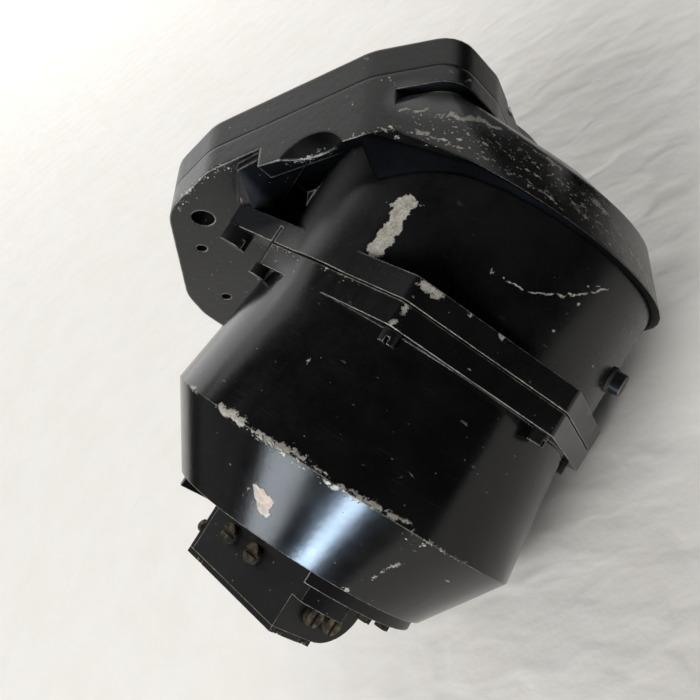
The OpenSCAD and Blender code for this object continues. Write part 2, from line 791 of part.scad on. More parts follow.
module corrector_body() {
    color(enamel) on_bowl() difference() {
        union() {
            translate([0, 0, base_z]) cylinder(r = base_r, h = base_t);
            // Thicker pad of the base beside the long pair
            intersection() {
                translate([0, 0, step_z]) cylinder(r = step_r, h = 5);
                translate([-far, step_side, step_z - 1]) cube([far - 10, box_front - step_side, far]);
            }
            along_box(box_end_x, box_open_x) box_section(0, 0, 0, base_z + 1);
        }
        // The base is cut flush with the box's front to clear the spindles
        translate([base_cut_x, box_front, -far]) cube([base_cut_l, far, far + base_top + 1]);
        // Room for the cross pair, open to the top and the aft end
        along_box(web_x, box_open_x + 1) box_section(box_wall, box_wall, round_wall, base_top + 1);
        // Room for the long pair
        along_box(long_end_x, web_x - web_t) box_section(box_wall, round_wall, round_wall);
        for (x = [[web_x, box_open_x + 1.5], [long_end_x, web_x - web_t]])
            translate([x[0] + cover_ledge, slot_back, box_z - 1])
                cube([x[1] - x[0] - 2 * cover_ledge, front_room - slot_back - cover_ledge, 3]);
        at_base_screws() translate([0, 0, base_z - 1]) cylinder(d = base_screw_d, h = base_t + 2);
        at_cover_screws() translate([0, 0, box_z - 1]) cylinder(d = cover_screw_d, h = 4);
        at_end_screws() translate([0, 0, -4]) cylinder(d = cover_screw_d, h = 5);
        for (x = cross_x)
            translate([x, -far / 2, cross_z]) rotate([-90, 0, 0]) cylinder(r = bush_r, h = far);
        for (y = long_y) {
            translate([long_end_x + 1, y, long_z]) rotate([0, -90, 0]) cylinder(r = bush_r, h = 10);
            translate([web_x + 1, y, long_z]) rotate([0, -90, 0]) cylinder(r = journal_r + journal_gap, h = 4);
        }
    }
}

module corrector_screws() {
    color(brass) on_bowl() at_base_screws() translate([0, 0, base_z])
        slotted_screw(base_screw_d, base_t + base_screw_depth - 0.2, 3, 1.3);
}

module corrector_end_plate() {
    color(enamel) on_bowl() difference() {
        along_box(box_open_x, box_open_x + end_plate_t) box_section(0, 0, 0);
        at_end_screws() translate([0, 0, -1]) cylinder(d = cover_screw_d, h = 5);
    }
}

module end_plate_screws() {
    color(brass) on_bowl() at_end_screws() translate([0, 0, end_plate_t]) mirror([0, 0, 1])
        slotted_screw(cover_screw_d, end_plate_t + 3, 3, 1.2);
}

module corrector_cover() {
    flat_from = -box_back + box_round;
    color(enamel) on_bowl() difference() {
        translate([box_end_x, flat_from, cover_z])
            cube([box_open_x + end_plate_t - box_end_x, box_front - flat_from, cover_t]);
        at_cover_screws() translate([0, 0, cover_z - 1]) cylinder(d = cover_screw_d, h = 5);
        at_cover_screws() translate([0, 0, cover_z - 1]) cylinder(d = 2 * cover_screw_d, h = 1 + cover_sink);
    }
}

module cover_screws() {
    color(brass) on_bowl() at_cover_screws() translate([0, 0, cover_z + cover_sink])
        slotted_screw(cover_screw_d, cover_t - cover_sink + 2.6, 2 * cover_screw_d - 0.2, cover_sink - 0.1);
}

module bush(length) {
    difference() {
        cylinder(r = bush_r, h = length);
        translate([0, 0, -1]) cylinder(r = journal_r + journal_gap, h = length + 2);
    }
}

module spindle_bushes() {
    color(brass) {
        for (i = [0, 1], s = [front_room, -box_back]) on_cross(i) translate([0, 0, s]) bush(box_wall);
        for (i = [0, 1]) on_long(i) translate([0, 0, -long_end_x]) bush(long_end_x - box_end_x);
    }
}

// Spindle with journals, a collar drilled for its magnet and a slotted head
module spindle(start, head_at, collar_at) {
    color(brass) difference() {
        union() {
            translate([0, 0, start]) cylinder(r = journal_r, h = head_at - start);
            translate([0, 0, collar_at - collar_l / 2]) cylinder(r = collar_r, h = collar_l);
            translate([0, 0, head_at]) cylinder(r = spindle_head_r, h = spindle_head_t);
        }
        translate([-far / 2, 0, collar_at]) rotate([0, 90, 0]) cylinder(r = corrector_magnet_r, h = far);
        translate([-far / 2, -head_slot / 2, head_at + spindle_head_t - 0.6]) cube([far, head_slot, 1]);
    }
}

module spindle_magnet(collar_at, length) {
    color(steel) translate([-length / 2, 0, collar_at]) rotate([0, 90, 0])
        cylinder(r = corrector_magnet_r, h = length);
}

function involute(r, t) = r * [cos(t) + t * PI / 180 * sin(t), sin(t) - t * PI / 180 * cos(t)];
function turned(p, a) = [p.x * cos(a) - p.y * sin(a), p.x * sin(a) + p.y * cos(a)];

// Outline of a spur gear with involute flanks
function gear_outline(module_mm) =
    let (pitch_r = module_mm * gear_teeth / 2, base = pitch_r * cos(pressure_angle))
    let (tip = pitch_r + module_mm, root = pitch_r - 1.25 * module_mm, steps = 3)
    let (last = sqrt(pow(tip / base, 2) - 1) * 180 / PI)
    let (lead = tan(pressure_angle) * 180 / PI - pressure_angle)
    let (half = 90 / gear_teeth * (1 - gear_backlash) + lead)
    let (flank = [for (i = [0 : steps]) turned(involute(base, last * i / steps), -half)])
    let (tooth = concat([turned([root, 0], -half)], flank,
        [for (i = [steps : -1 : 0]) [flank[i].x, -flank[i].y]], [turned([root, 0], half)]))
    [for (k = [0 : gear_teeth - 1]) each [for (p = tooth) turned(p, k * 360 / gear_teeth)]];

module spur_gear(module_mm, bottom, phase) {
    color(brass) translate([0, 0, bottom]) difference() {
        linear_extrude(gear_t) rotate(phase) polygon(gear_outline(module_mm));
        translate([0, 0, -1]) cylinder(r = journal_r, h = gear_t + 2);
    }
}

cross_collar = 1;
cross_gear_z = front_room - gear_t - 0.6;
long_collar = -web_x + web_t + 0.4 + collar_l / 2;
long_gear_z = -long_end_x - gear_t - 0.4;

module cross_spindle(i) {
    on_cross(i) spindle(-box_back + 0.3, box_front + slip, cross_collar);
}

module long_spindle(i) {
    on_long(i) spindle(-web_x + 0.1, -box_end_x + slip, long_collar);
}

module cross_spindle_a() { cross_spindle(0); }
module cross_spindle_b() { cross_spindle(1); }
module cross_gear_a() { on_cross(0) spur_gear(cross_module, cross_gear_z, 180); }
module cross_gear_b() { on_cross(1) spur_gear(cross_module, cross_gear_z, 180); }
module cross_magnet_a() { on_cross(0) spindle_magnet(cross_collar, cross_magnet_l); }
module cross_magnet_b() { on_cross(1) spindle_magnet(cross_collar, cross_magnet_l); }
module long_spindle_a() { long_spindle(0); }
module long_spindle_b() { long_spindle(1); }
module long_gear_a() { on_long(0) spur_gear(long_module, long_gear_z, -90); }
module long_gear_b() { on_long(1) spur_gear(long_module, long_gear_z, -90); }
module long_magnet_a() { on_long(0) spindle_magnet(long_collar, long_magnet_l); }
module long_magnet_b() { on_long(1) spindle_magnet(long_collar, long_magnet_l); }

hood_casting();
bezel_plate();
window_glass();
window_gasket();
window_ring();
bezel_screws();
upper_bowl();
bowl_glass();
glass_gasket();
glass_ring();
lubber_line();
filler_plug();
filler_washer();
flange_gasket();
flange_screws();
ear_screws();
lower_bowl();
expansion_capsule();
capsule_nut();
pivot_post();
jewel_cup();
card_pivot();
float();
compass_card();
card_magnets();
corrector_body();
corrector_screws();
corrector_end_plate();
end_plate_screws();
corrector_cover();
cover_screws();
spindle_bushes();
cross_spindle_a();
cross_gear_a();
cross_magnet_a();
cross_spindle_b();
cross_gear_b();
cross_magnet_b();
long_spindle_a();
long_gear_a();
long_magnet_a();
long_spindle_b();
long_gear_b();
long_magnet_b();
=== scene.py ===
"""Looks for a worn aircraft compass that lies on a white table.

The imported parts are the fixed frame. Each sub-assembly below dresses its own parts, and the card unit
adds the printed marks that only the pictures need. Lengths inside the shaders are in millimetres.
"""

import logging
import math
from dataclasses import dataclass, field
from enum import Enum
from typing import Any, Mapping, Sequence, Union

import bpy
from mathutils import Matrix, Vector


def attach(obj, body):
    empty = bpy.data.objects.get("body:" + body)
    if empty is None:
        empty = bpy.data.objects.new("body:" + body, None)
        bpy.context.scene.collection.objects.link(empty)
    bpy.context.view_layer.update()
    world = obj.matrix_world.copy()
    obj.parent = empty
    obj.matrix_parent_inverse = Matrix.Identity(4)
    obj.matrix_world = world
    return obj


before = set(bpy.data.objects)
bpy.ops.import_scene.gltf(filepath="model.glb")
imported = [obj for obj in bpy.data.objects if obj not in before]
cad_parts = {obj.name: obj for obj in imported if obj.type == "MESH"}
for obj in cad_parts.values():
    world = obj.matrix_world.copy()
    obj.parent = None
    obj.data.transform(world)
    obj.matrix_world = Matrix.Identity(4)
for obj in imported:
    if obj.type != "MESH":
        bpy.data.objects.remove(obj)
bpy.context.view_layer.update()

LOG = logging.getLogger("compass")
MM = 0.001

Triple = tuple[float, float, float]
Term = Union["Value", float, Sequence[float]]
Settings = Mapping[str, Any] | None
Sockets = Mapping[Any, Any] | None

# The bowl in the part's frame: its lean, its origin in millimetres, its own axes and a mean radius.
TILT = math.radians(38.0)
BOWL_ORIGIN: Triple = (-6.0, 40.6, 0.0)
AFT: Triple = (math.cos(TILT), -math.sin(TILT), 0.0)
UP_BOWL: Triple = (-math.sin(TILT), -math.cos(TILT), 0.0)
DOWN_BOWL: Triple = (-UP_BOWL[0], -UP_BOWL[1], -UP_BOWL[2])
MEAN_RADIUS = 38.0

# The table leans in that frame, because the part lies on one cheek.
TABLE_UP: Triple = (0.0454, -0.1243, 0.9912)
X_AXIS: Triple = (1.0, 0.0, 0.0)
Y_AXIS: Triple = (0.0, 1.0, 0.0)
Z_AXIS: Triple = (0.0, 0.0, 1.0)


class Bare(Enum):
    """What shows where the paint has gone."""

    ALLOY = "alloy"
    PRIMER = "primer"


class Body(Enum):
    """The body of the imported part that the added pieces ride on."""

    CARD = "card"


class Glow(Enum):
    """What a light reaches."""

    SHINE = "reflections"
    WASH = "matt faces"


class Value:
    """A shader socket that can be used in sums."""

    def __init__(self, graph: "Graph", socket: bpy.types.NodeSocket) -> None:
        """Wraps an output socket of a graph."""
        self.graph = graph
        self.socket = socket

    def __add__(self, other: Term) -> "Value":
        """Adds another term."""
        return self.graph.maths("ADD", self, other)

    __radd__ = __add__

    def __mul__(self, other: Term) -> "Value":
        """Multiplies by another term."""
        return self.graph.maths("MULTIPLY", self, other)

    __rmul__ = __mul__

    def __sub__(self, other: Term) -> "Value":
        """Takes another term away."""
        return self.graph.maths("SUBTRACT", self, other)

    def __rsub__(self, other: Term) -> "Value":
        """Takes this value away from another term."""
        return self.graph.maths("SUBTRACT", other, self)

    def __truediv__(self, other: Term) -> "Value":
        """Divides by another term."""
        return self.graph.maths("DIVIDE", self, other)

    def __rtruediv__(self, other: Term) -> "Value":
        """Divides another term by this value."""
        return self.graph.maths("DIVIDE", other, self)

    def __pow__(self, other: Term) -> "Value":
        """Raises this value to a power."""
        return self.graph.maths("POWER", self, other)

    def __rpow__(self, other: Term) -> "Value":
        """Raises another term to this value's power."""
        return self.graph.maths("POWER", other, self)

    def dot(self, other: Term) -> "Value":
        """Takes the scalar product with a vector, which is a plain number."""
        return self.graph.maths("DOT_PRODUCT", self, other)

    def length(self) -> "Value":
        """Measures a vector."""
        return self.graph.maths("LENGTH", self)

    def at_least(self, other: Term) -> "Value":
        """Keeps the larger of two terms."""
        return self.graph.maths("MAXIMUM", self, other)

    def at_most(self, other: Term) -> "Value":
        """Keeps the smaller of two terms."""
        return self.graph.maths("MINIMUM", self, other)

    def ramp(self, low: float, high: float) -> "Value":
        """Eases from nought at the first level to one at the second, which may be the lower."""
        sockets = {"Value": self, "From Min": low, "From Max": high}
        return self.graph.out("ShaderNodeMapRange", {"interpolation_type": "SMOOTHSTEP"}, sockets)

    def mix(self, low: Term, high: Term) -> "Value":
        """Blends two colours or numbers, the first at nought and the second at one."""
        return self.graph.blend(self, low, high)


def is_wide(term: Term) -> bool:
    """Tells a vector or colour from a plain number."""
    plain = term.socket.type == "VALUE" if isinstance(term, Value) else isinstance(term, (int, float))
    return not plain


class Graph:
    """The node tree of one material, modifier or world."""

    def __init__(self, tree: bpy.types.NodeTree) -> None:
        """Takes a tree and clears it."""
        self.tree = tree
        tree.nodes.clear()

    def node(self, kind: str, settings: Settings = None, sockets: Sockets = None) -> bpy.types.Node:
        """Adds any node, its settings first and then its sockets.

        Args:
            kind: The node's type.
            settings: Properties of the node.
            sockets: Values, numbers or vectors by socket name or number.

        Returns:
            The new node.
        """
        made = self.tree.nodes.new(kind)
        for name, setting in (settings or {}).items():
            setattr(made, name, setting)
        for key, term in (sockets or {}).items():
            self.feed(made.inputs[key], term)
        return made

    def out(
        self, kind: str, settings: Settings = None, sockets: Sockets = None, output: int | str = 0
    ) -> Value:
        """Adds any node and takes one of its outputs, by name or number."""
        return Value(self, self.node(kind, settings, sockets).outputs[output])

    def feed(self, socket: bpy.types.NodeSocket, term: Term) -> None:
        """Links a value to a socket, or sets a constant on it.

        Args:
            socket: The input socket.
            term: The value, number, vector or colour.
        """
        if isinstance(term, Value):
            self.tree.links.new(term.socket, socket)
        elif isinstance(term, (bool, str)):
            socket.default_value = term
        elif isinstance(term, (int, float)) and socket.type == "VALUE":
            socket.default_value = float(term)
        elif isinstance(term, (int, float)):
            socket.default_value = [float(term)] * len(socket.default_value)
        else:
            socket.default_value = list(term) + [1.0] * (len(socket.default_value) - len(term))

    def maths(self, operation: str, *terms: Term) -> Value:
        """Does one sum on numbers, vectors or colours.

        Args:
            operation: The name of the sum.
            terms: What goes into it.

        Returns:
            The result.
        """
        wide = any(is_wide(term) for term in terms)
        kind = "ShaderNodeVectorMath" if wide else "ShaderNodeMath"
        made = self.node(kind, {"operation": operation}, dict(enumerate(terms)))
        plain = not wide or operation in {"DOT_PRODUCT", "LENGTH"}
        return Value(self, made.outputs["Value" if plain else "Vector"])

    def blend(self, factor: Term, low: Term, high: Term) -> Value:
        """Blends two colours or two numbers.

        Args:
            factor: Nought for the first, one for the second.
            low: The first colour or number.
            high: The second colour or number.

        Returns:
            The blend.
        """
        wide = is_wide(low) or is_wide(high)
        kind, first, output = ("RGBA", 6, 2) if wide else ("FLOAT", 2, 0)
        sockets = {0: factor, first: low, first + 1: high}
        return self.out("ShaderNodeMix", {"data_type": kind}, sockets, output)

    def place(self) -> Value:
        """Gives the point on the part, in millimetres of its own coordinates."""
        return self.out("ShaderNodeTexCoord", output="Object") * (1.0 / MM)

    def noise(
        self, point: Term, scale: float, detail: float, rough: float = 0.6, twist: float = 0.0
    ) -> Value:
        """Adds cloudy noise from about nought to one, at a scale in waves per millimetre."""
        sockets = {"Vector": point, "Scale": scale, "Detail": detail, "Roughness": rough, "Distortion": twist}
        return self.out("ShaderNodeTexNoise", None, sockets)

    def cells(self, point: Term, scale: float) -> tuple[Value, Value]:
        """Adds cells, and gives the distance to each one's middle and its random colour."""
        made = self.node("ShaderNodeTexVoronoi", None, {"Vector": point, "Scale": scale})
        return Value(self, made.outputs["Distance"]), Value(self, made.outputs["Color"])

    def openness(self, reach: float, alone: bool = False) -> Value:
        """Tells open faces from hollows within a reach in millimetres, of one part alone or of all."""
        settings = {"samples": HOLLOW_SAMPLES, "only_local": alone}
        return self.out("ShaderNodeAmbientOcclusion", settings, {"Distance": reach * MM}, "AO")

    def bump(self, height: Value, strength: float, normal: Value | None = None) -> Value:
        """Turns a height into a normal.

        Args:
            height: The height in millimetres.
            strength: How much of it shows.
            normal: The normal to start from, if it isn't the face's own.

        Returns:
            The new normal.
        """
        sockets: dict[str, Term] = {"Strength": strength, "Distance": MM, "Height": height}
        if normal is not None:
            sockets["Normal"] = normal
        return self.out("ShaderNodeBump", None, sockets)

    def round_bowl(self, point: Value) -> Value:
        """Unrolls a point round the bowl's axis.

        Args:
            point: The place to read it at.

        Returns:
            Millimetres along the turn at a mean radius, out from the axis and up it.
        """
        offset = point - BOWL_ORIGIN
        aft, across = offset.dot(AFT), offset.dot(Z_AXIS)
        turn = self.maths("ARCTAN2", across, aft) * MEAN_RADIUS
        radius = (aft * aft + across * across) ** 0.5
        return self.out("ShaderNodeCombineXYZ", None, {0: turn, 1: radius, 2: offset.dot(UP_BOWL)})

    def segment(self, point: Value, start: Triple, end: Triple) -> Value:
        """Measures the distance to a straight line between two points.

        Args:
            point: The place to read it at.
            start: One end in millimetres.
            end: The other end in millimetres.

        Returns:
            The distance in millimetres.
        """
        offset = point - start
        if start == end:
            return offset.length()
        line = tuple(b - a for a, b in zip(start, end))
        square = sum(c * c for c in line)
        along = (offset.dot(line) / square).at_least(0.0).at_most(1.0)
        scaled = self.out("ShaderNodeVectorMath", {"operation": "SCALE"}, {0: line, "Scale": along})
        return (offset - scaled).length()

    def track(self, point: Value, path: tuple[Triple, ...]) -> Value:
        """Measures the distance to a path of straight lines, or to one point.

        Args:
            point: The place to read it at.
            path: Points of the path in millimetres.

        Returns:
            The distance in millimetres.
        """
        ends = list(zip(path, path[1:])) or [(path[0], path[0])]
        nearest = self.segment(point, *ends[0])
        for start, end in ends[1:]:
            nearest = nearest.at_most(self.segment(point, start, end))
        return nearest

    def surface(self, sockets: Mapping[str, Term]) -> None:
        """Ends the graph in one surface shader with these inputs."""
        shader = self.out("ShaderNodeBsdfPrincipled", None, sockets)
        self.node("ShaderNodeOutputMaterial", None, {"Surface": shader})


@dataclass(frozen=True)
class Chip:
    """Paint knocked off along a path on the part.

    Attributes:
        path: Points in millimetres in the part's frame.
        radius: Half width of the damage, in millimetres.
        ragged: How far the noise moves its edge.
        bare: What shows under the paint.
    """

    path: tuple[Triple, ...]
    radius: float
    ragged: float
    bare: Bare = Bare.ALLOY

    def distance(self, graph: Graph, point: Value) -> Value:
        """Measures how far a point is outside the damage, in millimetres, negative inside."""
        return graph.track(point, self.path) - self.radius


@dataclass(frozen=True)
class Rub:
    """A zone where handling has rubbed the paint to flecks, or where a grey highlight is painted onto it.

    Attributes:
        path: Points in millimetres in the part's frame.
        reach: Distance at which the rubbing or painted highlight ends, in millimetres.
        strength: How strong it is along the path. A painted highlight may go above one.
    """

    path: tuple[Triple, ...]
    reach: float
    strength: float

    def zone(self, graph: Graph, point: Value) -> Value:
        """Measures how rubbed or how strongly highlighted a point is, from nought to the zone's strength; the
        highlight is painted.
        """
        return graph.track(point, self.path).ramp(self.reach, 0.0) * self.strength


@dataclass(frozen=True)
class Finish:
    """A way to paint a part. Subclasses draw the nodes."""

    name: str

    def draw(self, graph: Graph) -> None:
        """Draws the finish in the graph of an empty material."""
        raise NotImplementedError

    def material(self) -> bpy.types.Material:
        """Makes the material, once for each name.

        Returns:
            The material.
        """
        found = bpy.data.materials.get(self.name)
        if found is not None:
            return found
        made = bpy.data.materials.new(self.name)
        made.use_nodes = True
        self.draw(Graph(made.node_tree))
        return made


# Waves per millimetre of the enamel's noises, and the mean of any noise.
CLOUD_WAVES = 0.09
PATCH_WAVES = 0.55
GRAIN_WAVES = 2.6
SMUDGE_WAVES = 0.16
WANDER_WAVES = 0.45
NOISE_MEAN = 0.5

# Flecks: cells per millimetre of the three sizes, drawn out round the bowl.
FLECK_SCALES = (1.05, 1.9, 3.2)
FLECK_STRETCH: Triple = (0.42, 1.0, 1.0)
TURNING_WAVES: Triple = (4.0 / MEAN_RADIUS, 3.2, 3.2)

# Chips wander along X by a share of their radius up to a limit, and by millimetres along Y and Z.
WANDER_LIMIT = 1.6
WANDER_SHARE = 3.3
WANDER = 3.0

# Lengths in millimetres: reach of a hollow and of grime, fade behind a limit, depth of lost paint.
HOLLOW_REACH = 1.6
GRIME_REACH = 1.2
FADE = 4.0
BARE_DEPTH = 0.05
HOLLOW_SAMPLES = 4
EDGE_SAMPLES = 6

# The darker and lighter tone of the paint and of what is under it, the grey of painted highlights, and what
# lies on it.
PAINT_TONES: tuple[Triple, Triple] = ((0.0036, 0.0037, 0.0040), (0.0068, 0.0068, 0.0072))
ALLOY_TONES: tuple[Triple, Triple] = ((0.29, 0.275, 0.235), (0.64, 0.62, 0.55))
PRIMER_TONES: tuple[Triple, Triple] = ((0.40, 0.33, 0.28), (0.60, 0.49, 0.42))
PAINTED_HIGHLIGHT_TONE: Triple = (0.19, 0.195, 0.205)
DUST_TONE: Triple = (0.22, 0.205, 0.185)
SCRATCH_TONE: Triple = (0.12, 0.12, 0.13)
PAINT_SHINE = 0.34
BARE_ROUGH = 0.55
BARE_METAL = 0.3


@dataclass(frozen=True)
class Enamel(Finish):
    """Black enamel on a light alloy casting, worn at its edges and chipped.

    Attributes:
        gloss: Roughness of sound paint.
        wear: How much of the edges is worn.
        edge: Radius of a rounded edge, in millimetres.
        speckle: How many small flecks are missing.
        grain: Strength of the casting's texture.
        dust: How much dust lies on upward faces and in hollows.
        swirl: Strength of fine turning scratches round the bowl.
        chips: The larger damage.
        rubs: Zones that are rubbed to flecks.
        hazes: Zones where a grey highlight is painted onto the paint.
        seam: Place along Y of a joint whose edges keep their paint, in millimetres.
        flat_from: Place along X behind which faces that look down the bowl get painted shade: dull black, as
            a metal of the paint's colour.
        clean_from: Place along X behind which those shaded faces keep all their paint, so the painted shade
            has no bare places.
    """

    gloss: float
    wear: float
    edge: float
    speckle: float
    grain: float
    dust: float
    swirl: float = 0.0
    chips: tuple[Chip, ...] = ()
    rubs: tuple[Rub, ...] = ()
    hazes: tuple[Rub, ...] = ()
    seam: float | None = None
    flat_from: float | None = None
    clean_from: float = 0.0

    def draw(self, graph: Graph) -> None:
        """Draws the paint, its wear and its chips, with painted highlights and painted shade.

        Args:
            graph: The graph of an empty material.
        """
        point = graph.place()
        clouds = graph.noise(point, CLOUD_WAVES, 3.0)
        middle = graph.noise(point, PATCH_WAVES, 5.0, 0.65)
        fine = graph.noise(point, GRAIN_WAVES, 4.0, 0.7)
        drift, patch, grit = (noise - NOISE_MEAN for noise in (clouds, middle, fine))
        ragged = patch * 5.0 + grit * 4.0

        # Worn edges, where a rounded normal bends away from the face's own.
        round_normal = graph.out("ShaderNodeBevel", {"samples": EDGE_SAMPLES}, {"Radius": self.edge * MM})
        plain_normal = graph.out("ShaderNodeNewGeometry", output="Normal")
        bend = 1.0 - round_normal.dot(plain_normal)
        exposed = graph.openness(HOLLOW_REACH, True).ramp(0.55, 0.8)
        rubbed = self.rubbing(graph, point, self.rubs)
        loss = ragged * 0.22 + drift * 0.9 - (1.0 - self.wear) * 1.05 + rubbed * 0.5
        worn = (bend * 3.6 * exposed + loss).ramp(0.0, 0.2) * bend.ramp(0.02, 0.07)
        if self.seam is not None:
            worn = worn * graph.maths("ABSOLUTE", point.dot(Y_AXIS) - self.seam).ramp(0.7, 1.1)

        # All bare places, and the alloy or primer that shows there.
        streaks = middle.ramp(0.38, 0.62) * 0.8 + 0.25
        bare = worn.at_least(self.flecks(graph, point, streaks * rubbed, grit))
        primer: Term = 0.0
        for kind in Bare:
            mask = self.damage(graph, point, ragged, kind)
            if mask is not None:
                bare = bare.at_least(mask)
                primer = mask if kind is Bare.PRIMER else primer
        alloy = (fine * 0.6 + middle * 0.4).ramp(0.36, 0.64).mix(*ALLOY_TONES)
        under = graph.blend(primer, alloy, middle.ramp(0.35, 0.65).mix(*PRIMER_TONES))

        # Sound paint, lightened to grey by painted highlights in given zones, with dust on upward faces and
        # in hollows.
        paint = clouds.ramp(0.3, 0.7).mix(*PAINT_TONES)
        facing = plain_normal.dot(TABLE_UP).ramp(0.1, 0.9)
        patchy = (middle * 0.7 + fine * 0.5).ramp(0.45, 0.95)
        settled = (facing * patchy + (1.0 - exposed) * 0.5) * self.dust
        with_painted_highlight = graph.blend(self.rubbing(graph, point, self.hazes) * 0.4, paint, PAINTED_HIGHLIGHT_TONE)
        paint_dust_and_highlight = graph.blend(settled * 0.10, with_painted_highlight, DUST_TONE)
        rough = self.gloss + drift * 0.14 + grit * 0.08 + settled * 0.2

        # Painted shade under the lip: faces that look down the bowl turn black, as a metal of the paint's
        # colour, and farther back without bare places.
        underside_shade: Term = 0.0
        if self.flat_from is not None:
            along = point.dot(X_AXIS)
            below = plain_normal.dot(DOWN_BOWL).ramp(0.12, 0.4)
            underside_shade = below * along.ramp(self.flat_from, self.flat_from - FADE)
            rough = rough + underside_shade * 0.3
            bare = bare * (1.0 - underside_shade * along.ramp(self.clean_from, self.clean_from - FADE))
        height = grit * (0.03 * self.grain) + patch * (0.10 * self.grain) - bare * BARE_DEPTH
        if self.swirl > 0.0:
            lines = self.turning(graph, point)
            rough = rough + lines * (0.10 * self.swirl)
            paint_dust_and_highlight = graph.blend(lines * (0.05 * self.swirl), paint_dust_and_highlight, SCRATCH_TONE)
        graph.surface(
            {
                "Base Color": graph.blend(bare, paint_dust_and_highlight, under),
                "Roughness": graph.blend(bare, rough, BARE_ROUGH),
                "Metallic": bare * BARE_METAL + underside_shade,
                "Specular IOR Level": PAINT_SHINE,
                "Normal": graph.bump(height, 0.9, round_normal),
            }
        )

    def flecks(self, graph: Graph, point: Value, rubbed: Value, grit: Value) -> Value:
        """Draws small flecks of lost paint, a few everywhere and many where the part is rubbed.

        Args:
            graph: The graph to draw in.
            point: The place to read it at.
            rubbed: How rubbed the point is.
            grit: Fine noise about nought that makes the flecks ragged.

        Returns:
            A mask.
        """
        mask: Term = 0.0
        drawn_out = graph.round_bowl(point) * FLECK_STRETCH
        for scale in FLECK_SCALES:
            distance, dice = graph.cells(drawn_out, scale)
            there = (rubbed * 0.95 + self.speckle * 0.006 - dice.dot(X_AXIS)).ramp(-0.01, 0.01)
            size = dice.dot(Y_AXIS) * 0.40 + 0.03
            mask = ((size - distance + grit * 1.1).ramp(0.0, 0.08) * there).at_least(mask)
        return mask

    def rubbing(self, graph: Graph, point: Value, rubs: tuple[Rub, ...]) -> Term:
        """Draws the zones that are rubbed, or those where a grey highlight is painted.

        Args:
            graph: The graph to draw in.
            point: The place to read it at.
            rubs: The zones, rubbed ones or painted highlights.

        Returns:
            How rubbed or how strongly highlighted the point is, or nought.
        """
        total: Term = 0.0
        for rub in rubs:
            total = rub.zone(graph, point).at_least(total)
        return total

    def damage(self, graph: Graph, point: Value, ragged: Value, kind: Bare) -> Value | None:
        """Draws the chips of one kind.

        Args:
            graph: The graph to draw in.
            point: The place to read it at.
            ragged: Noise that moves the chips' edges.
            kind: What shows under the paint.

        Returns:
            A mask, or nothing if there is no such chip.
        """
        chips = [chip for chip in self.chips if chip.bare is kind]
        if not chips:
            return None
        sockets = {"Vector": point, "Scale": WANDER_WAVES, "Detail": 3.0}
        wander = graph.out("ShaderNodeTexNoise", None, sockets, "Color") - (NOISE_MEAN,) * 3
        mask: Term = 0.0
        for chip in chips:
            spot = point + wander * (min(chip.radius, WANDER_LIMIT) * WANDER_SHARE, WANDER, WANDER)
            here = (chip.distance(graph, spot) + ragged * chip.ragged).ramp(0.08, -0.08)
            mask = here.at_least(mask)
        return mask

    def turning(self, graph: Graph, point: Value) -> Value:
        """Draws a mask of fine scratches that run round the bowl in patches."""
        lines = graph.noise(graph.round_bowl(point) * TURNING_WAVES, 1.0, 2.0, 0.6, 1.2).ramp(0.60, 0.72)
        return lines * graph.noise(point, SMUDGE_WAVES, 2.0).ramp(0.42, 0.62)


@dataclass(frozen=True)
class Metal(Finish):
    """Bare or plated metal with tarnish and handling marks.

    Attributes:
        bright: Colour of clean metal.
        dull: Colour of tarnish.
        rough: Roughness of clean metal.
        tarnish: How much of the metal is dulled.
    """

    bright: Triple = (0.62, 0.47, 0.24)
    dull: Triple = (0.13, 0.09, 0.045)
    rough: float = 0.32
    tarnish: float = 0.5

    def draw(self, graph: Graph) -> None:
        """Draws the metal.

        Args:
            graph: The graph of an empty material.
        """
        point = graph.place()
        clouds = graph.noise(point, 0.5, 4.0)
        fine = graph.noise(point, 4.0, 4.0, 0.7)
        grit = fine - NOISE_MEAN
        grime = graph.openness(GRIME_REACH).ramp(0.85, 0.25)
        spread = (clouds + grit * 0.6).ramp(0.75 - 0.5 * self.tarnish, 1.0 - 0.4 * self.tarnish)
        stained = spread.at_least(grime)
        graph.surface(
            {
                "Base Color": stained.mix(self.bright, self.dull),
                "Metallic": 1.0 - stained * 0.5,
                "Roughness": self.rough + stained * 0.28 + grit * 0.14,
                "Normal": graph.bump(fine * 0.03, 0.5),
            }
        )


@dataclass(frozen=True)
class Matte(Finish):
    """Rubber, printed card or paint without much shine.

    Attributes:
        light: The paler tone.
        dark: The darker tone.
        rough: Roughness.
        scale: Size of the mottling, in waves per millimetre.
    """

    light: Triple = (0.05, 0.045, 0.04)
    dark: Triple = (0.018, 0.016, 0.015)
    rough: float = 0.75
    scale: float = 0.8

    def draw(self, graph: Graph) -> None:
        """Draws the matte finish.

        Args:
            graph: The graph of an empty material.
        """
        point = graph.place()
        clouds = graph.noise(point, self.scale * 0.3, 4.0)
        fine = graph.noise(point, self.scale * 4.0, 4.0, 0.7)
        tone = (clouds * 0.6 + fine * 0.4).ramp(0.3, 0.7)
        graph.surface(
            {
                "Base Color": tone.mix(self.dark, self.light),
                "Roughness": self.rough + (fine - NOISE_MEAN) * 0.2,
                "Normal": graph.bump(fine * 0.05, 0.6),
            }
        )


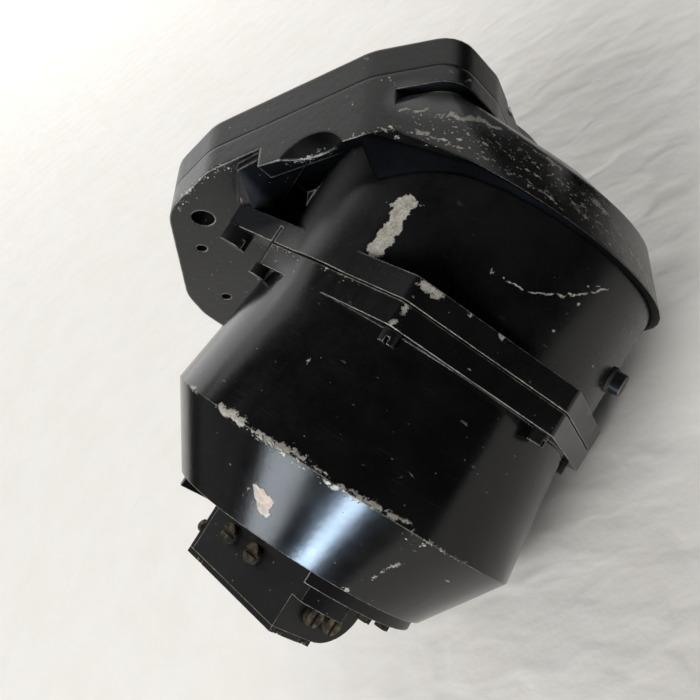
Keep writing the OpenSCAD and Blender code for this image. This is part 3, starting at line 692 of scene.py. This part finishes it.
@dataclass(frozen=True)
class Clear(Finish):
    """Old clear glass or stone with a little haze.

    Attributes:
        tint: Colour of the light that goes through.
        haze: Roughness of smudged areas.
        smear: How dark the smudges are, as a share of the tint.
        bending: Refractive index.
    """

    tint: Triple = (0.94, 0.97, 0.95)
    haze: float = 0.12
    smear: float = 0.86
    bending: float = 1.5

    def draw(self, graph: Graph) -> None:
        """Draws the glass.

        Args:
            graph: The graph of an empty material.
        """
        point = graph.place()
        smears = graph.noise(point, 0.12, 4.0, 0.6, 0.8).ramp(0.45, 0.75)
        specks = graph.noise(point, 2.2, 3.0).ramp(0.66, 0.74)
        colour = (smears * 0.3).mix(self.tint, tuple(c * self.smear for c in self.tint))
        graph.surface(
            {
                "Base Color": colour,
                "Roughness": smears * self.haze + specks * 0.3 + 0.015,
                "Transmission Weight": 1.0,
                "IOR": self.bending,
            }
        )


@dataclass(frozen=True)
class Tabletop(Finish):
    """White table with soft lumps, as of old plaster or paint.

    Attributes:
        white: The table's colour.
        stain: Its darker places, as shares of that colour.
        lump: Size of the lumps, in waves per millimetre.
    """

    white: Triple = (0.84, 0.835, 0.815)
    stain: Triple = (0.97, 0.955, 0.93)
    lump: float = 0.115

    def draw(self, graph: Graph) -> None:
        """Draws the table.

        Args:
            graph: The graph of an empty material.
        """
        point = graph.place()
        lumps = graph.noise(point * (0.8, 1.1, 1.0), self.lump, 1.5, 0.4, 0.3)
        grains = graph.noise(point, self.lump * 5.0, 3.0, 0.5)
        stains = graph.noise(point, self.lump * 0.35, 3.0).ramp(0.35, 0.65)
        height = lumps * 0.72 + grains * 0.06
        darker = tuple(c * share for c, share in zip(self.white, self.stain))
        graph.surface(
            {
                "Base Color": (stains * 0.5 + lumps * 0.5).mix(darker, self.white),
                "Roughness": 0.7 + grains * 0.2,
                "Specular IOR Level": 0.2,
                "Normal": graph.bump(height, 0.9),
            }
        )


BRASS = Metal("aged brass")
DARK_BRASS = Metal(
    "dirty brass", bright=(0.21, 0.175, 0.12), dull=(0.026, 0.022, 0.017), rough=0.42, tarnish=0.9
)
STEEL = Metal("oiled steel", bright=(0.46, 0.46, 0.47), dull=(0.12, 0.10, 0.085), rough=0.34, tarnish=0.45)
MAGNET = Metal("magnet steel", bright=(0.30, 0.30, 0.31), dull=(0.10, 0.085, 0.07), rough=0.42, tarnish=0.5)
RUBBER = Matte("black rubber")
CARD_WHITE = Matte("card paint", light=(0.80, 0.78, 0.69), dark=(0.70, 0.67, 0.56), rough=0.62, scale=0.5)
INK = Matte("printing ink", light=(0.022, 0.021, 0.02), dark=(0.012, 0.012, 0.012), rough=0.55, scale=1.2)
GLASS = Clear("window glass")
JEWEL = Clear("jewel stone", tint=(0.62, 0.10, 0.12), haze=0.04)


def from_columns(along: Sequence[float], across: Sequence[float], up: Sequence[float]) -> Matrix:
    """Makes the turn whose three columns are the axes given."""
    return Matrix((along, across, up)).transposed().to_4x4()


def add_object(name: str, data: bpy.types.ID) -> bpy.types.Object:
    """Makes an object and links it to the scene.

    Args:
        name: The new object's name.
        data: Its mesh, curve, light or camera.

    Returns:
        The object.
    """
    made = bpy.data.objects.new(name, data)
    bpy.context.scene.collection.objects.link(made)
    return made


JOIN_WITHIN = 0.000002


@dataclass
class SubAssembly:
    """Parts that are dressed together.

    Attributes:
        title: What the log calls it.
        finishes: The finish of each part.
        crease: Edges sharper than this stay sharp, in degrees.
    """

    title: str
    finishes: dict[str, Finish] = field(default_factory=dict)
    crease: float = 30.0

    def build(self) -> None:
        """Dresses every part and adds any pieces of its own."""
        for node, finish in self.finishes.items():
            self.dress(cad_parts[node], finish)
            LOG.info("%s: %s in %s", self.title, node, finish.name)

    def dress(self, part: bpy.types.Object, finish: Finish) -> None:
        """Gives a part its finish and soft shading.

        Args:
            part: The part's object.
            finish: The finish to use.
        """
        part.data.materials.clear()
        part.data.materials.append(finish.material())
        part.modifiers.new("soft shading", "NODES").node_group = soft_shading(self.crease)


def soft_shading(angle: float) -> bpy.types.NodeTree:
    """Makes the modifier that joins facets and shades them smoothly up to an angle.

    Args:
        angle: Edges sharper than this stay sharp, in degrees.

    Returns:
        The modifier's node group.
    """
    name = f"soft shading {angle:.0f}"
    found = bpy.data.node_groups.get(name)
    if found is not None:
        return found
    tree = bpy.data.node_groups.new(name, "GeometryNodeTree")
    for way in ("INPUT", "OUTPUT"):
        tree.interface.new_socket("Geometry", in_out=way, socket_type="NodeSocketGeometry")
    graph = Graph(tree)
    start = graph.out("NodeGroupInput")
    plain = graph.out("GeometryNodeRemoveAttribute", None, {"Geometry": start, "Name": "custom_normal"})
    joined = graph.out("GeometryNodeMergeByDistance", None, {"Geometry": plain, "Distance": JOIN_WITHIN})
    smooth = graph.out(
        "GeometryNodeSetShadeSmooth", {"domain": "FACE"}, {"Geometry": joined, "Shade Smooth": True}
    )
    bend = graph.out("GeometryNodeInputMeshEdgeAngle", output="Unsigned Angle")
    sharp = graph.out(
        "FunctionNodeCompare",
        {"data_type": "FLOAT", "operation": "GREATER_THAN"},
        {0: bend, 1: math.radians(angle)},
    )
    ridged = graph.out(
        "GeometryNodeSetShadeSmooth",
        {"domain": "EDGE"},
        {"Geometry": smooth, "Selection": sharp, "Shade Smooth": False},
    )
    graph.node("NodeGroupOutput", None, {0: ridged})
    return tree


# Where the photo shows damage, and where grey highlights are painted: paths in millimetres of the part's
# frame, then the radius and raggedness of a chip, or the reach and strength of a rubbed zone or a painted
# highlight.
HOOD_CHIPS = (
    Chip(((-36.8, 18.2, 36.5), (-38.8, 19.0, 34.8), (-40.6, 18.3, 32.0), (-42.3, 18.9, 29.7)), 0.65, 0.5),
    Chip(((-28.8, 17.6, 42.5), (-30.3, 17.0, 41.3)), 0.22, 0.4),
    Chip(((-31.3, 17.4, 40.6), (-33.1, 16.8, 39.3)), 0.2, 0.4),
    Chip(((-33.4, 18.4, 39.0), (-35.5, 18.3, 37.4)), 0.22, 0.4),
    Chip(((-43.9, 18.9, 27.2), (-46.9, 22.3, 23.6), (-50.3, 26.1, 19.1)), 0.08, 0.35),
    Chip(((-53.5, 30.0, 11.9), (-54.3, 31.3, 8.9)), 0.85, 0.6),
    Chip(((-48.6, 24.0, 21.3), (-50.3, 25.6, 19.0)), 0.4, 0.5),
    Chip(((-51.4, 28.4, 17.3), (-52.5, 29.6, 14.8)), 0.15, 0.4),
    Chip(((-54.5, 31.5, 7.7), (-55.0, 34.2, 5.5), (-55.3, 36.1, 0.6), (-55.1, 38.9, -5.6)), 0.35, 0.55),
    Chip(((-31.7, 22.6, 40.3), (-36.3, 25.0, 37.0), (-41.3, 28.5, 33.1)), 0.14, 0.5),
    Chip(((-41.3, 28.5, 33.1), (-45.4, 31.7, 28.6), (-49.3, 33.8, 23.0)), 0.06, 0.5),
    Chip(((-49.3, 33.8, 23.0), (-52.5, 35.3, 16.1), (-54.7, 39.1, 8.2), (-55.3, 40.3, 3.7)), 0.04, 0.5),
    Chip(((-54.6, 33.7, -7.5), (-54.6, 37.9, -8.6), (-54.3, 41.0, -9.7)), 0.25, 0.6),
    Chip(((-50.4, 33.6, 20.6), (-53.6, 35.4, 12.7), (-55.3, 37.7, 3.2), (-55.4, 40.8, -1.0)), 0.06, 0.35),
    Chip(((-26.8, 8.2, 43.5), (-27.9, 10.7, 43.1), (-28.1, 11.9, 42.2)), 0.1, 0.25),
    Chip(((-28.1, 12.1, 42.6), (-28.0, 15.8, 42.8)), 0.12, 0.4),
    Chip(((-39.4, 10.2, 36.5), (-40.2, 9.5, 33.8)), 0.15, 0.4),
    Chip(((7.0, 16.9, 40.3), (2.9, 18.7, 43.2)), 0.15, 0.5),
    Chip(((-19.3, 12.4, 45.3),), 0.1, 0.4),
    Chip(((-17.7, 10.0, 45.4),), 0.15, 0.4),
)
HOOD_RUBS = (
    Rub(
        (
            (-33.8, 20.5, 38.8), (-41.1, 23.1, 32.7), (-47.1, 27.3, 24.8),
            (-52.4, 33.2, 15.8), (-55.1, 37.0, 5.3), (-54.6, 40.0, -9.0),
        ),
        6.5, 0.62,
    ),
    Rub(((-27.7, 22.2, 43.2), (-33.9, 24.6, 38.8), (-42.9, 29.6, 31.5), (-50.7, 36.1, 20.6)), 1.9, 0.78),
    Rub(((-2.5, 19.5, 44.2), (-11.5, 20.6, 44.1), (-22.4, 22.3, 45.0), (-27.7, 22.2, 43.2)), 1.4, 0.95),
    Rub(((33.1, 13.6, 42.5), (27.1, 13.6, 45.8), (22.3, 13.6, 46.8), (13.7, 13.6, 46.2)), 2.0, 0.8),
)
# Painted highlight: grey along the top of the hood's nose, in place of a reflection.
HOOD_PAINTED_HIGHLIGHTS = (Rub(((-30.0, 14.5, 41.0), (-38.0, 16.0, 35.5), (-43.0, 17.0, 29.5)), 6.0, 1.35),)
UPPER_CHIPS = (
    Chip(((-26.3, 34.9, 35.8), (-23.6, 38.9, 35.7), (-20.6, 42.4, 35.7)), 2.0, 0.45),
    Chip(((-31.2, 54.8, 35.2), (-31.7, 55.3, 33.5), (-32.4, 55.4, 31.9)), 0.9, 0.6),
    Chip(((-34.6, 56.6, 25.6),), 0.4, 0.4),
    Chip(((-36.7, 58.3, 18.8),), 0.5, 0.4),
    Chip(((-37.9, 47.2, 24.1),), 0.4, 0.4),
    Chip(((-39.15, 48.26, 22.02), (-40.17, 48.93, 20.22), (-41.27, 49.75, 17.85)), 0.17, 0.03),
    Chip(
        ((-41.27, 49.75, 17.85), (-42.65, 49.57, 15.88), (-44.46, 49.11, 13.14), (-46.08, 48.33, 10.74)),
        0.15, 0.03,
    ),
    Chip(
        ((-46.08, 48.33, 10.74), (-47.64, 47.41, 8.16), (-49.07, 46.25, 6.01), (-51.0, 44.35, 3.09)),
        0.15, 0.03,
    ),
    Chip(((-48.78, 45.81, 8.58), (-49.65, 45.22, 7.02), (-50.35, 44.83, 5.12)), 0.08, 0.05),
    Chip(((-46.9, 48.6, 7.6),), 0.3, 0.3),
    Chip(((-45.6, 50.6, 6.2),), 0.2, 0.3),
    Chip(((-44.7, 51.0, 8.5),), 0.15, 0.3),
    Chip(((-42.1, 54.1, 9.2),), 0.25, 0.3),
    Chip(((-40.3, 56.6, 8.5),), 0.25, 0.3),
)
# Painted highlight: grey on the left of the upper bowl's cylinder, in place of a reflection.
UPPER_PAINTED_HIGHLIGHTS = (Rub(((-1.2, 33.6, 37.0), (-10.2, 20.4, 36.8)), 12.0, 0.55),)
LOWER_CHIPS = (
    Chip(((10.4, 70.5, 40.7), (8.0, 72.2, 40.2), (5.8, 73.7, 39.5)), 0.9, 0.6),
    Chip(((3.8, 75.9, 38.6), (-0.8, 78.8, 36.1), (-4.5, 81.0, 33.4)), 0.45, 0.6),
    Chip(((-5.2, 82.0, 32.6), (-7.3, 83.9, 30.3)), 0.0, 0.5),
    Chip(((-7.4, 85.6, 28.6), (-11.7, 87.4, 24.0), (-15.3, 89.9, 16.2)), 0.5, 0.6),
    Chip(((-15.4, 90.6, 15.0), (-16.6, 91.8, 9.9), (-17.7, 92.2, -1.0)), 0.02, 0.5),
    Chip(((7.9, 84.3, 31.1), (8.1, 86.7, 28.9)), 1.7, 0.35),
    Chip(((7.6, 84.6, 30.9), (7.8, 86.4, 29.2)), 1.3, 0.3, Bare.PRIMER),
    Chip(((12.3, 84.1, 30.9), (8.6, 83.0, 32.2), (4.9, 82.2, 33.2)), 0.06, 0.25),
    Chip(((-1.8, 96.3, 10.4), (-5.3, 95.3, 10.2), (-9.4, 94.0, 10.2)), 0.0, 0.75),
    Chip(((2.4, 97.4, 11.0),), 0.5, 0.6),
    Chip(((-27.7, 58.7, 36.1),), 0.7, 0.8),
    Chip(((-25.4, 61.3, 36.3),), 0.5, 0.8),
    Chip(((21.5, 61.7, 40.1), (18.6, 64.3, 40.8)), 0.3, 0.9),
    Chip(((-5.1, 77.1, 34.2),), 0.25, 0.3),
    Chip(((-7.4, 71.6, 34.2),), 0.2, 0.3),
    Chip(((-5.9, 63.0, 36.5),), 0.35, 0.4),
    Chip(((-25.9, 73.7, 13.2),), 0.15, 0.2),
    Chip(((-16.5, 83.0, 20.8), (-17.6, 82.1, 19.9), (-18.3, 82.5, 18.4)), 0.03, 0.12),
)
LOWER_RUBS = (
    Rub(((11.5, 69.4, 40.9), (2.4, 77.6, 37.4), (-5.3, 82.9, 32.2), (-15.6, 91.9, 10.8)), 1.6, 0.7),
    Rub(((-29.0, 58.0, 36.2), (-12.3, 46.0, 36.5), (9.0, 30.0, 36.6)), 1.2, 0.5),
)


@dataclass
class Housing(SubAssembly):
    """Hood casting, bezel plate and window.

    Attributes:
        seam: Place along Y of the joint between casting and plate, in millimetres.
    """

    title: str = "housing"
    crease: float = 20.0
    seam: float = 7.4

    def __post_init__(self) -> None:
        """Fills in the finishes."""
        hood = Enamel(
            "hood enamel", gloss=0.29, wear=0.35, edge=1.0, speckle=0.4, grain=0.9, dust=0.3,
            chips=HOOD_CHIPS, rubs=HOOD_RUBS, hazes=HOOD_PAINTED_HIGHLIGHTS,
            seam=self.seam, flat_from=13.0, clean_from=-12.0,
        )
        plate = Enamel(
            "plate enamel", gloss=0.35, wear=0.25, edge=0.9, speckle=0.2, grain=0.8, dust=0.3, seam=self.seam
        )
        self.finishes = {
            "hood_casting": hood,
            "bezel_plate": plate,
            "window_glass": GLASS,
            "window_gasket": RUBBER,
            "window_ring": BRASS,
            "bezel_screws": STEEL,
        }


@dataclass
class Bowl(SubAssembly):
    """Upper and lower bowl with their glass, gaskets and plugs."""

    title: str = "bowl"
    crease: float = 28.0

    def __post_init__(self) -> None:
        """Fills in the finishes."""
        upper = Enamel(
            "upper bowl enamel", gloss=0.28, wear=0.72, edge=0.4, speckle=0.1, grain=0.25, dust=0.2,
            swirl=0.3, chips=UPPER_CHIPS, hazes=UPPER_PAINTED_HIGHLIGHTS,
        )
        lower = Enamel(
            "lower bowl enamel", gloss=0.17, wear=0.72, edge=0.4, speckle=0.12, grain=0.2, dust=0.2,
            swirl=1.0, chips=LOWER_CHIPS, rubs=LOWER_RUBS,
        )
        plug = Enamel("plug enamel", gloss=0.4, wear=0.5, edge=0.3, speckle=0.3, grain=0.3, dust=0.3)
        self.finishes = {
            "upper_bowl": upper,
            "lower_bowl": lower,
            "bowl_glass": GLASS,
            "glass_gasket": RUBBER,
            "glass_ring": BRASS,
            "lubber_line": CARD_WHITE,
            "filler_plug": plug,
            "filler_washer": RUBBER,
            "flange_gasket": RUBBER,
            "flange_screws": plug,
            "ear_screws": plug,
            "expansion_capsule": BRASS,
            "capsule_nut": BRASS,
            "pivot_post": BRASS,
            "jewel_cup": JEWEL,
        }


# Letters by their step round the card, and a box's faces by its corners, four below and four above.
QUARTERS = {0: "N", 9: "E", 18: "S", 27: "W"}
BOX_FACES = ((3, 2, 1, 0), (4, 5, 6, 7), (0, 1, 5, 4), (1, 2, 6, 5), (2, 3, 7, 6), (3, 0, 4, 7))


@dataclass
class CardUnit(SubAssembly):
    """Card, float, magnets and pivot, with the card's printed marks.

    Attributes:
        steps: Marks round the card.
        long_every: Marks from one long one to the next.
        tick_out: Outer radius of the marks, in millimetres.
        tick_long: Length of the long marks.
        tick_short: Length of the short marks.
        tick_wide: Width of a mark.
        top: Height of the card's face on the bowl's axis.
        figure_r: Radius of the figures.
        figure_size: Height of the figures.
        lift: Thickness of the print.
    """

    title: str = "card"
    steps: int = 36
    long_every: int = 3
    tick_out: float = 29.6
    tick_long: float = 3.0
    tick_short: float = 1.8
    tick_wide: float = 0.45
    top: float = 2.2
    figure_r: float = 24.4
    figure_size: float = 3.4
    lift: float = 0.03

    def __post_init__(self) -> None:
        """Fills in the finishes."""
        self.finishes = {
            "compass_card": CARD_WHITE,
            "float": CARD_WHITE,
            "card_magnets": MAGNET,
            "card_pivot": STEEL,
        }

    def build(self) -> None:
        """Dresses the parts and prints the card."""
        super().build()
        self.print_marks()
        self.print_figures()

    def to_part(self) -> Matrix:
        """Gives the matrix from bowl millimetres to the part's metres."""
        turn = from_columns(AFT, Z_AXIS, UP_BOWL)
        return Matrix.Translation(Vector(BOWL_ORIGIN) * MM) @ turn @ Matrix.Scale(MM, 4)

    def angle(self, step: int) -> float:
        """Gives the angle from the first mark to another, in degrees."""
        return step * 360.0 / self.steps

    def add(self, name: str, mesh: bpy.types.Mesh) -> None:
        """Places a printed mesh on the card.

        Args:
            name: The new object's name.
            mesh: The mesh in bowl millimetres.
        """
        mesh.transform(self.to_part())
        printed = add_object(name, mesh)
        mesh.materials.append(INK.material())
        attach(printed, Body.CARD.value)
        LOG.info("%s: %s", self.title, name)

    def print_marks(self) -> None:
        """Adds the marks round the card, some of them longer."""
        verts: list[Triple] = []
        faces: list[tuple[int, ...]] = []
        for step in range(self.steps):
            long = self.tick_short if step % self.long_every else self.tick_long
            turn = math.radians(self.angle(step))
            along = Vector((math.cos(turn), math.sin(turn), 0.0))
            side = Vector((-along.y, along.x, 0.0)) * (self.tick_wide / 2.0)
            first = len(verts)
            for height in (self.top, self.top + self.lift):
                for reach, sign in ((-long, -1.0), (0.0, -1.0), (0.0, 1.0), (-long, 1.0)):
                    spot = along * (self.tick_out + reach) + side * sign
                    verts.append((spot.x, spot.y, height))
            faces += [tuple(first + i for i in face) for face in BOX_FACES]
        mesh = bpy.data.meshes.new("card_marks")
        mesh.from_pydata(verts, [], faces)
        self.add("card_marks", mesh)

    def print_figures(self) -> None:
        """Adds the figures in tens of degrees and the four quarter letters."""
        for step in range(0, self.steps, self.long_every):
            text = QUARTERS.get(step, str(step))
            curve = bpy.data.curves.new("figure", "FONT")
            curve.body = text
            curve.size = self.figure_size
            curve.align_x = curve.align_y = "CENTER"
            curve.extrude = self.lift / 2.0
            maker = add_object("figure", curve)
            depsgraph = bpy.context.evaluated_depsgraph_get()
            mesh = bpy.data.meshes.new_from_object(maker.evaluated_get(depsgraph))
            bpy.data.objects.remove(maker)
            turn = math.radians(180.0 - self.angle(step))
            spot = Vector((math.cos(turn), math.sin(turn), 0.0)) * self.figure_r
            spot.z = self.top + self.lift / 2.0
            mesh.transform(Matrix.Translation(spot) @ Matrix.Rotation(turn - math.pi / 2.0, 4, "Z"))
            self.add(f"card_figure_{text}", mesh)


@dataclass
class Corrector(SubAssembly):
    """Magnet box under the bowl, with its geared spindles."""

    title: str = "corrector"
    crease: float = 25.0

    def __post_init__(self) -> None:
        """Fills in the finishes."""
        box = Enamel(
            "corrector enamel", gloss=0.40, wear=0.38, edge=0.35, speckle=0.35, grain=0.5, dust=0.35
        )
        self.finishes = {
            "corrector_body": box,
            "corrector_end_plate": box,
            "corrector_cover": box,
            "corrector_screws": DARK_BRASS,
            "end_plate_screws": DARK_BRASS,
            "cover_screws": DARK_BRASS,
            "spindle_bushes": BRASS,
        }
        for pair in ("cross", "long"):
            for side in ("a", "b"):
                self.finishes[f"{pair}_spindle_{side}"] = DARK_BRASS
                self.finishes[f"{pair}_gear_{side}"] = BRASS
                self.finishes[f"{pair}_magnet_{side}"] = MAGNET


def table_axes() -> tuple[Vector, Vector, Vector]:
    """Gives the table's own axes.

    Returns:
        The directions along it, across it and up.
    """
    up = Vector(TABLE_UP).normalized()
    along = (Vector(X_AXIS) - up * up.x).normalized()
    return along, up.cross(along), up


@dataclass(frozen=True)
class Panel:
    """A soft rectangular light, placed by its bearing above the table.

    Attributes:
        name: The light's name.
        bearing: Angle round the table from the X axis, in degrees.
        rise: Angle above the table, in degrees.
        size: Width and height, in metres.
        radiance: Brightness of its face.
        colour: Its colour.
        glow: Whether it shows in glossy faces or lights matt ones.
        reach: Distance from the part, in metres.
    """

    name: str
    bearing: float
    rise: float
    size: tuple[float, float]
    radiance: float
    colour: Triple = (1.0, 1.0, 1.0)
    glow: Glow = Glow.SHINE
    reach: float = 1.6

    def hang(self, target: Vector) -> None:
        """Adds the light to the scene.

        Args:
            target: What it points at, in metres.
        """
        along, side, up = table_axes()
        turn, rise = math.radians(self.bearing), math.radians(self.rise)
        toward = (along * math.cos(turn) + side * math.sin(turn)) * math.cos(rise) + up * math.sin(rise)
        lamp = bpy.data.lights.new(self.name, "AREA")
        lamp.shape = "RECTANGLE"
        lamp.size, lamp.size_y = self.size
        lamp.energy = math.pi * self.size[0] * self.size[1] * self.radiance
        lamp.color = self.colour
        holder = add_object(self.name, lamp)
        across = up.cross(toward).normalized()
        facing = from_columns(across, toward.cross(across), toward)
        holder.matrix_world = Matrix.Translation(target + toward * self.reach) @ facing
        holder.visible_glossy = self.glow is Glow.SHINE
        holder.visible_diffuse = self.glow is Glow.WASH
        LOG.info("studio: %s light", self.name)


WARM: Triple = (1.0, 0.985, 0.965)

# Name, bearing, rise, size, radiance, colour, glow and reach.
PANELS = (
    Panel("window", 50.0, 22.0, (0.5, 0.42), 10.5, (0.84, 0.92, 1.0)),
    Panel("low window", 70.0, 0.5, (0.6, 0.2), 44.0, (0.60, 0.79, 1.0)),
    Panel("bright wall", -100.0, 38.0, (3.0, 1.3), 1.25, WARM),
    Panel("left wall", -40.0, 16.0, (0.9, 1.0), 1.6),
    Panel("front wall", 8.0, 20.0, (1.0, 0.6), 0.13),
    Panel("ceiling", 10.0, 62.0, (1.3, 1.0), 0.45),
    Panel("front light", 80.0, 30.0, (0.8, 0.8), 8.95, WARM, Glow.WASH, 1.2),
    Panel("back light", -80.0, 15.0, (0.8, 0.8), 6.9, WARM, Glow.WASH, 1.2),
    Panel("left light", -20.0, 15.0, (1.2, 1.2), 2.75, WARM, Glow.WASH, 2.0),
    Panel("upper left light", -20.0, 30.0, (1.0, 1.0), 0.85, WARM, Glow.WASH),
    Panel("overhead light", 90.0, 89.0, (3.0, 3.0), 0.16, WARM, Glow.WASH),
)


@dataclass
class Studio:
    """Table, lights and camera.

    Attributes:
        touch: A point of the part that rests on the table, in metres.
        middle: A point in the middle of the part.
        table_from: Near corner of the table from that point, along and across it.
        table_to: Far corner of the table.
        room: Brightness of the pale room behind the table.
        room_tint: Its colour.
        eye: The camera's place.
        right: The picture's right.
        up: The picture's up.
        back: The direction from the scene to the camera.
        lens: The camera's focal length, in millimetres.
        sensor: Width of its sensor, in millimetres.
        clip: The nearest and farthest that it sees, in metres.
    """

    touch: Triple = (0.0187, 0.0136, -0.048)
    middle: Triple = (0.0, 0.055, 0.0)
    table_from: tuple[float, float] = (-0.13, -1.2)
    table_to: tuple[float, float] = (1.2, 0.2)
    room: float = 0.78
    room_tint: Triple = (0.95, 0.97, 1.0)
    eye: Triple = (-0.121462, 0.161286, 0.157732)
    right: Triple = (-0.779891, -0.069036, -0.622100)
    up: Triple = (-0.277814, -0.852451, 0.442880)
    back: Triple = (-0.560876, 0.518228, 0.645640)
    lens: float = 54.0
    sensor: float = 36.0
    clip: tuple[float, float] = (0.01, 50.0)

    def build(self) -> None:
        """Sets the table, lights and camera."""
        self.set_table()
        for panel in PANELS:
            panel.hang(Vector(self.middle))
        self.set_world()
        self.set_camera()

    def set_table(self) -> None:
        """Adds the white table."""
        (x0, y0), (x1, y1) = self.table_from, self.table_to
        mesh = bpy.data.meshes.new("table")
        mesh.from_pydata([(x0, y0, 0), (x1, y0, 0), (x1, y1, 0), (x0, y1, 0)], [], [(0, 1, 2, 3)])
        table = add_object("table", mesh)
        table.matrix_world = Matrix.Translation(self.touch) @ from_columns(*table_axes())
        mesh.materials.append(Tabletop("white table").material())
        LOG.info("studio: table")

    def set_world(self) -> None:
        """Adds the pale room, which lights nothing by itself."""
        world = bpy.data.worlds.new("room")
        world.use_nodes = True
        graph = Graph(world.node_tree)
        sky = graph.out("ShaderNodeBackground", None, {"Color": self.room_tint, "Strength": self.room})
        graph.node("ShaderNodeOutputWorld", None, {"Surface": sky})
        world.cycles_visibility.glossy = False
        world.cycles_visibility.diffuse = False
        bpy.context.scene.world = world

    def set_camera(self) -> None:
        """Adds the camera at the photo's viewing angle."""
        data = bpy.data.cameras.new("camera")
        data.lens = self.lens
        data.sensor_width = self.sensor
        data.clip_start, data.clip_end = self.clip
        camera = add_object("camera", data)
        camera.matrix_world = Matrix.Translation(self.eye) @ from_columns(self.right, self.up, self.back)
        bpy.context.scene.camera = camera
        bpy.context.scene.view_settings.view_transform = "Standard"
        LOG.info("studio: camera")


def write_sizes() -> None:
    """Updates the view layer."""
    bpy.context.view_layer.update()


def main() -> None:
    """Dresses the sub-assemblies in order and sets the stage."""
    logging.basicConfig(level=logging.INFO, format="%(name)s %(message)s")
    for assembly in (Housing(), Bowl(), CardUnit(), Corrector()):
        assembly.build()
    Studio().build()
    write_sizes()


if __name__ == "__main__":
    main()
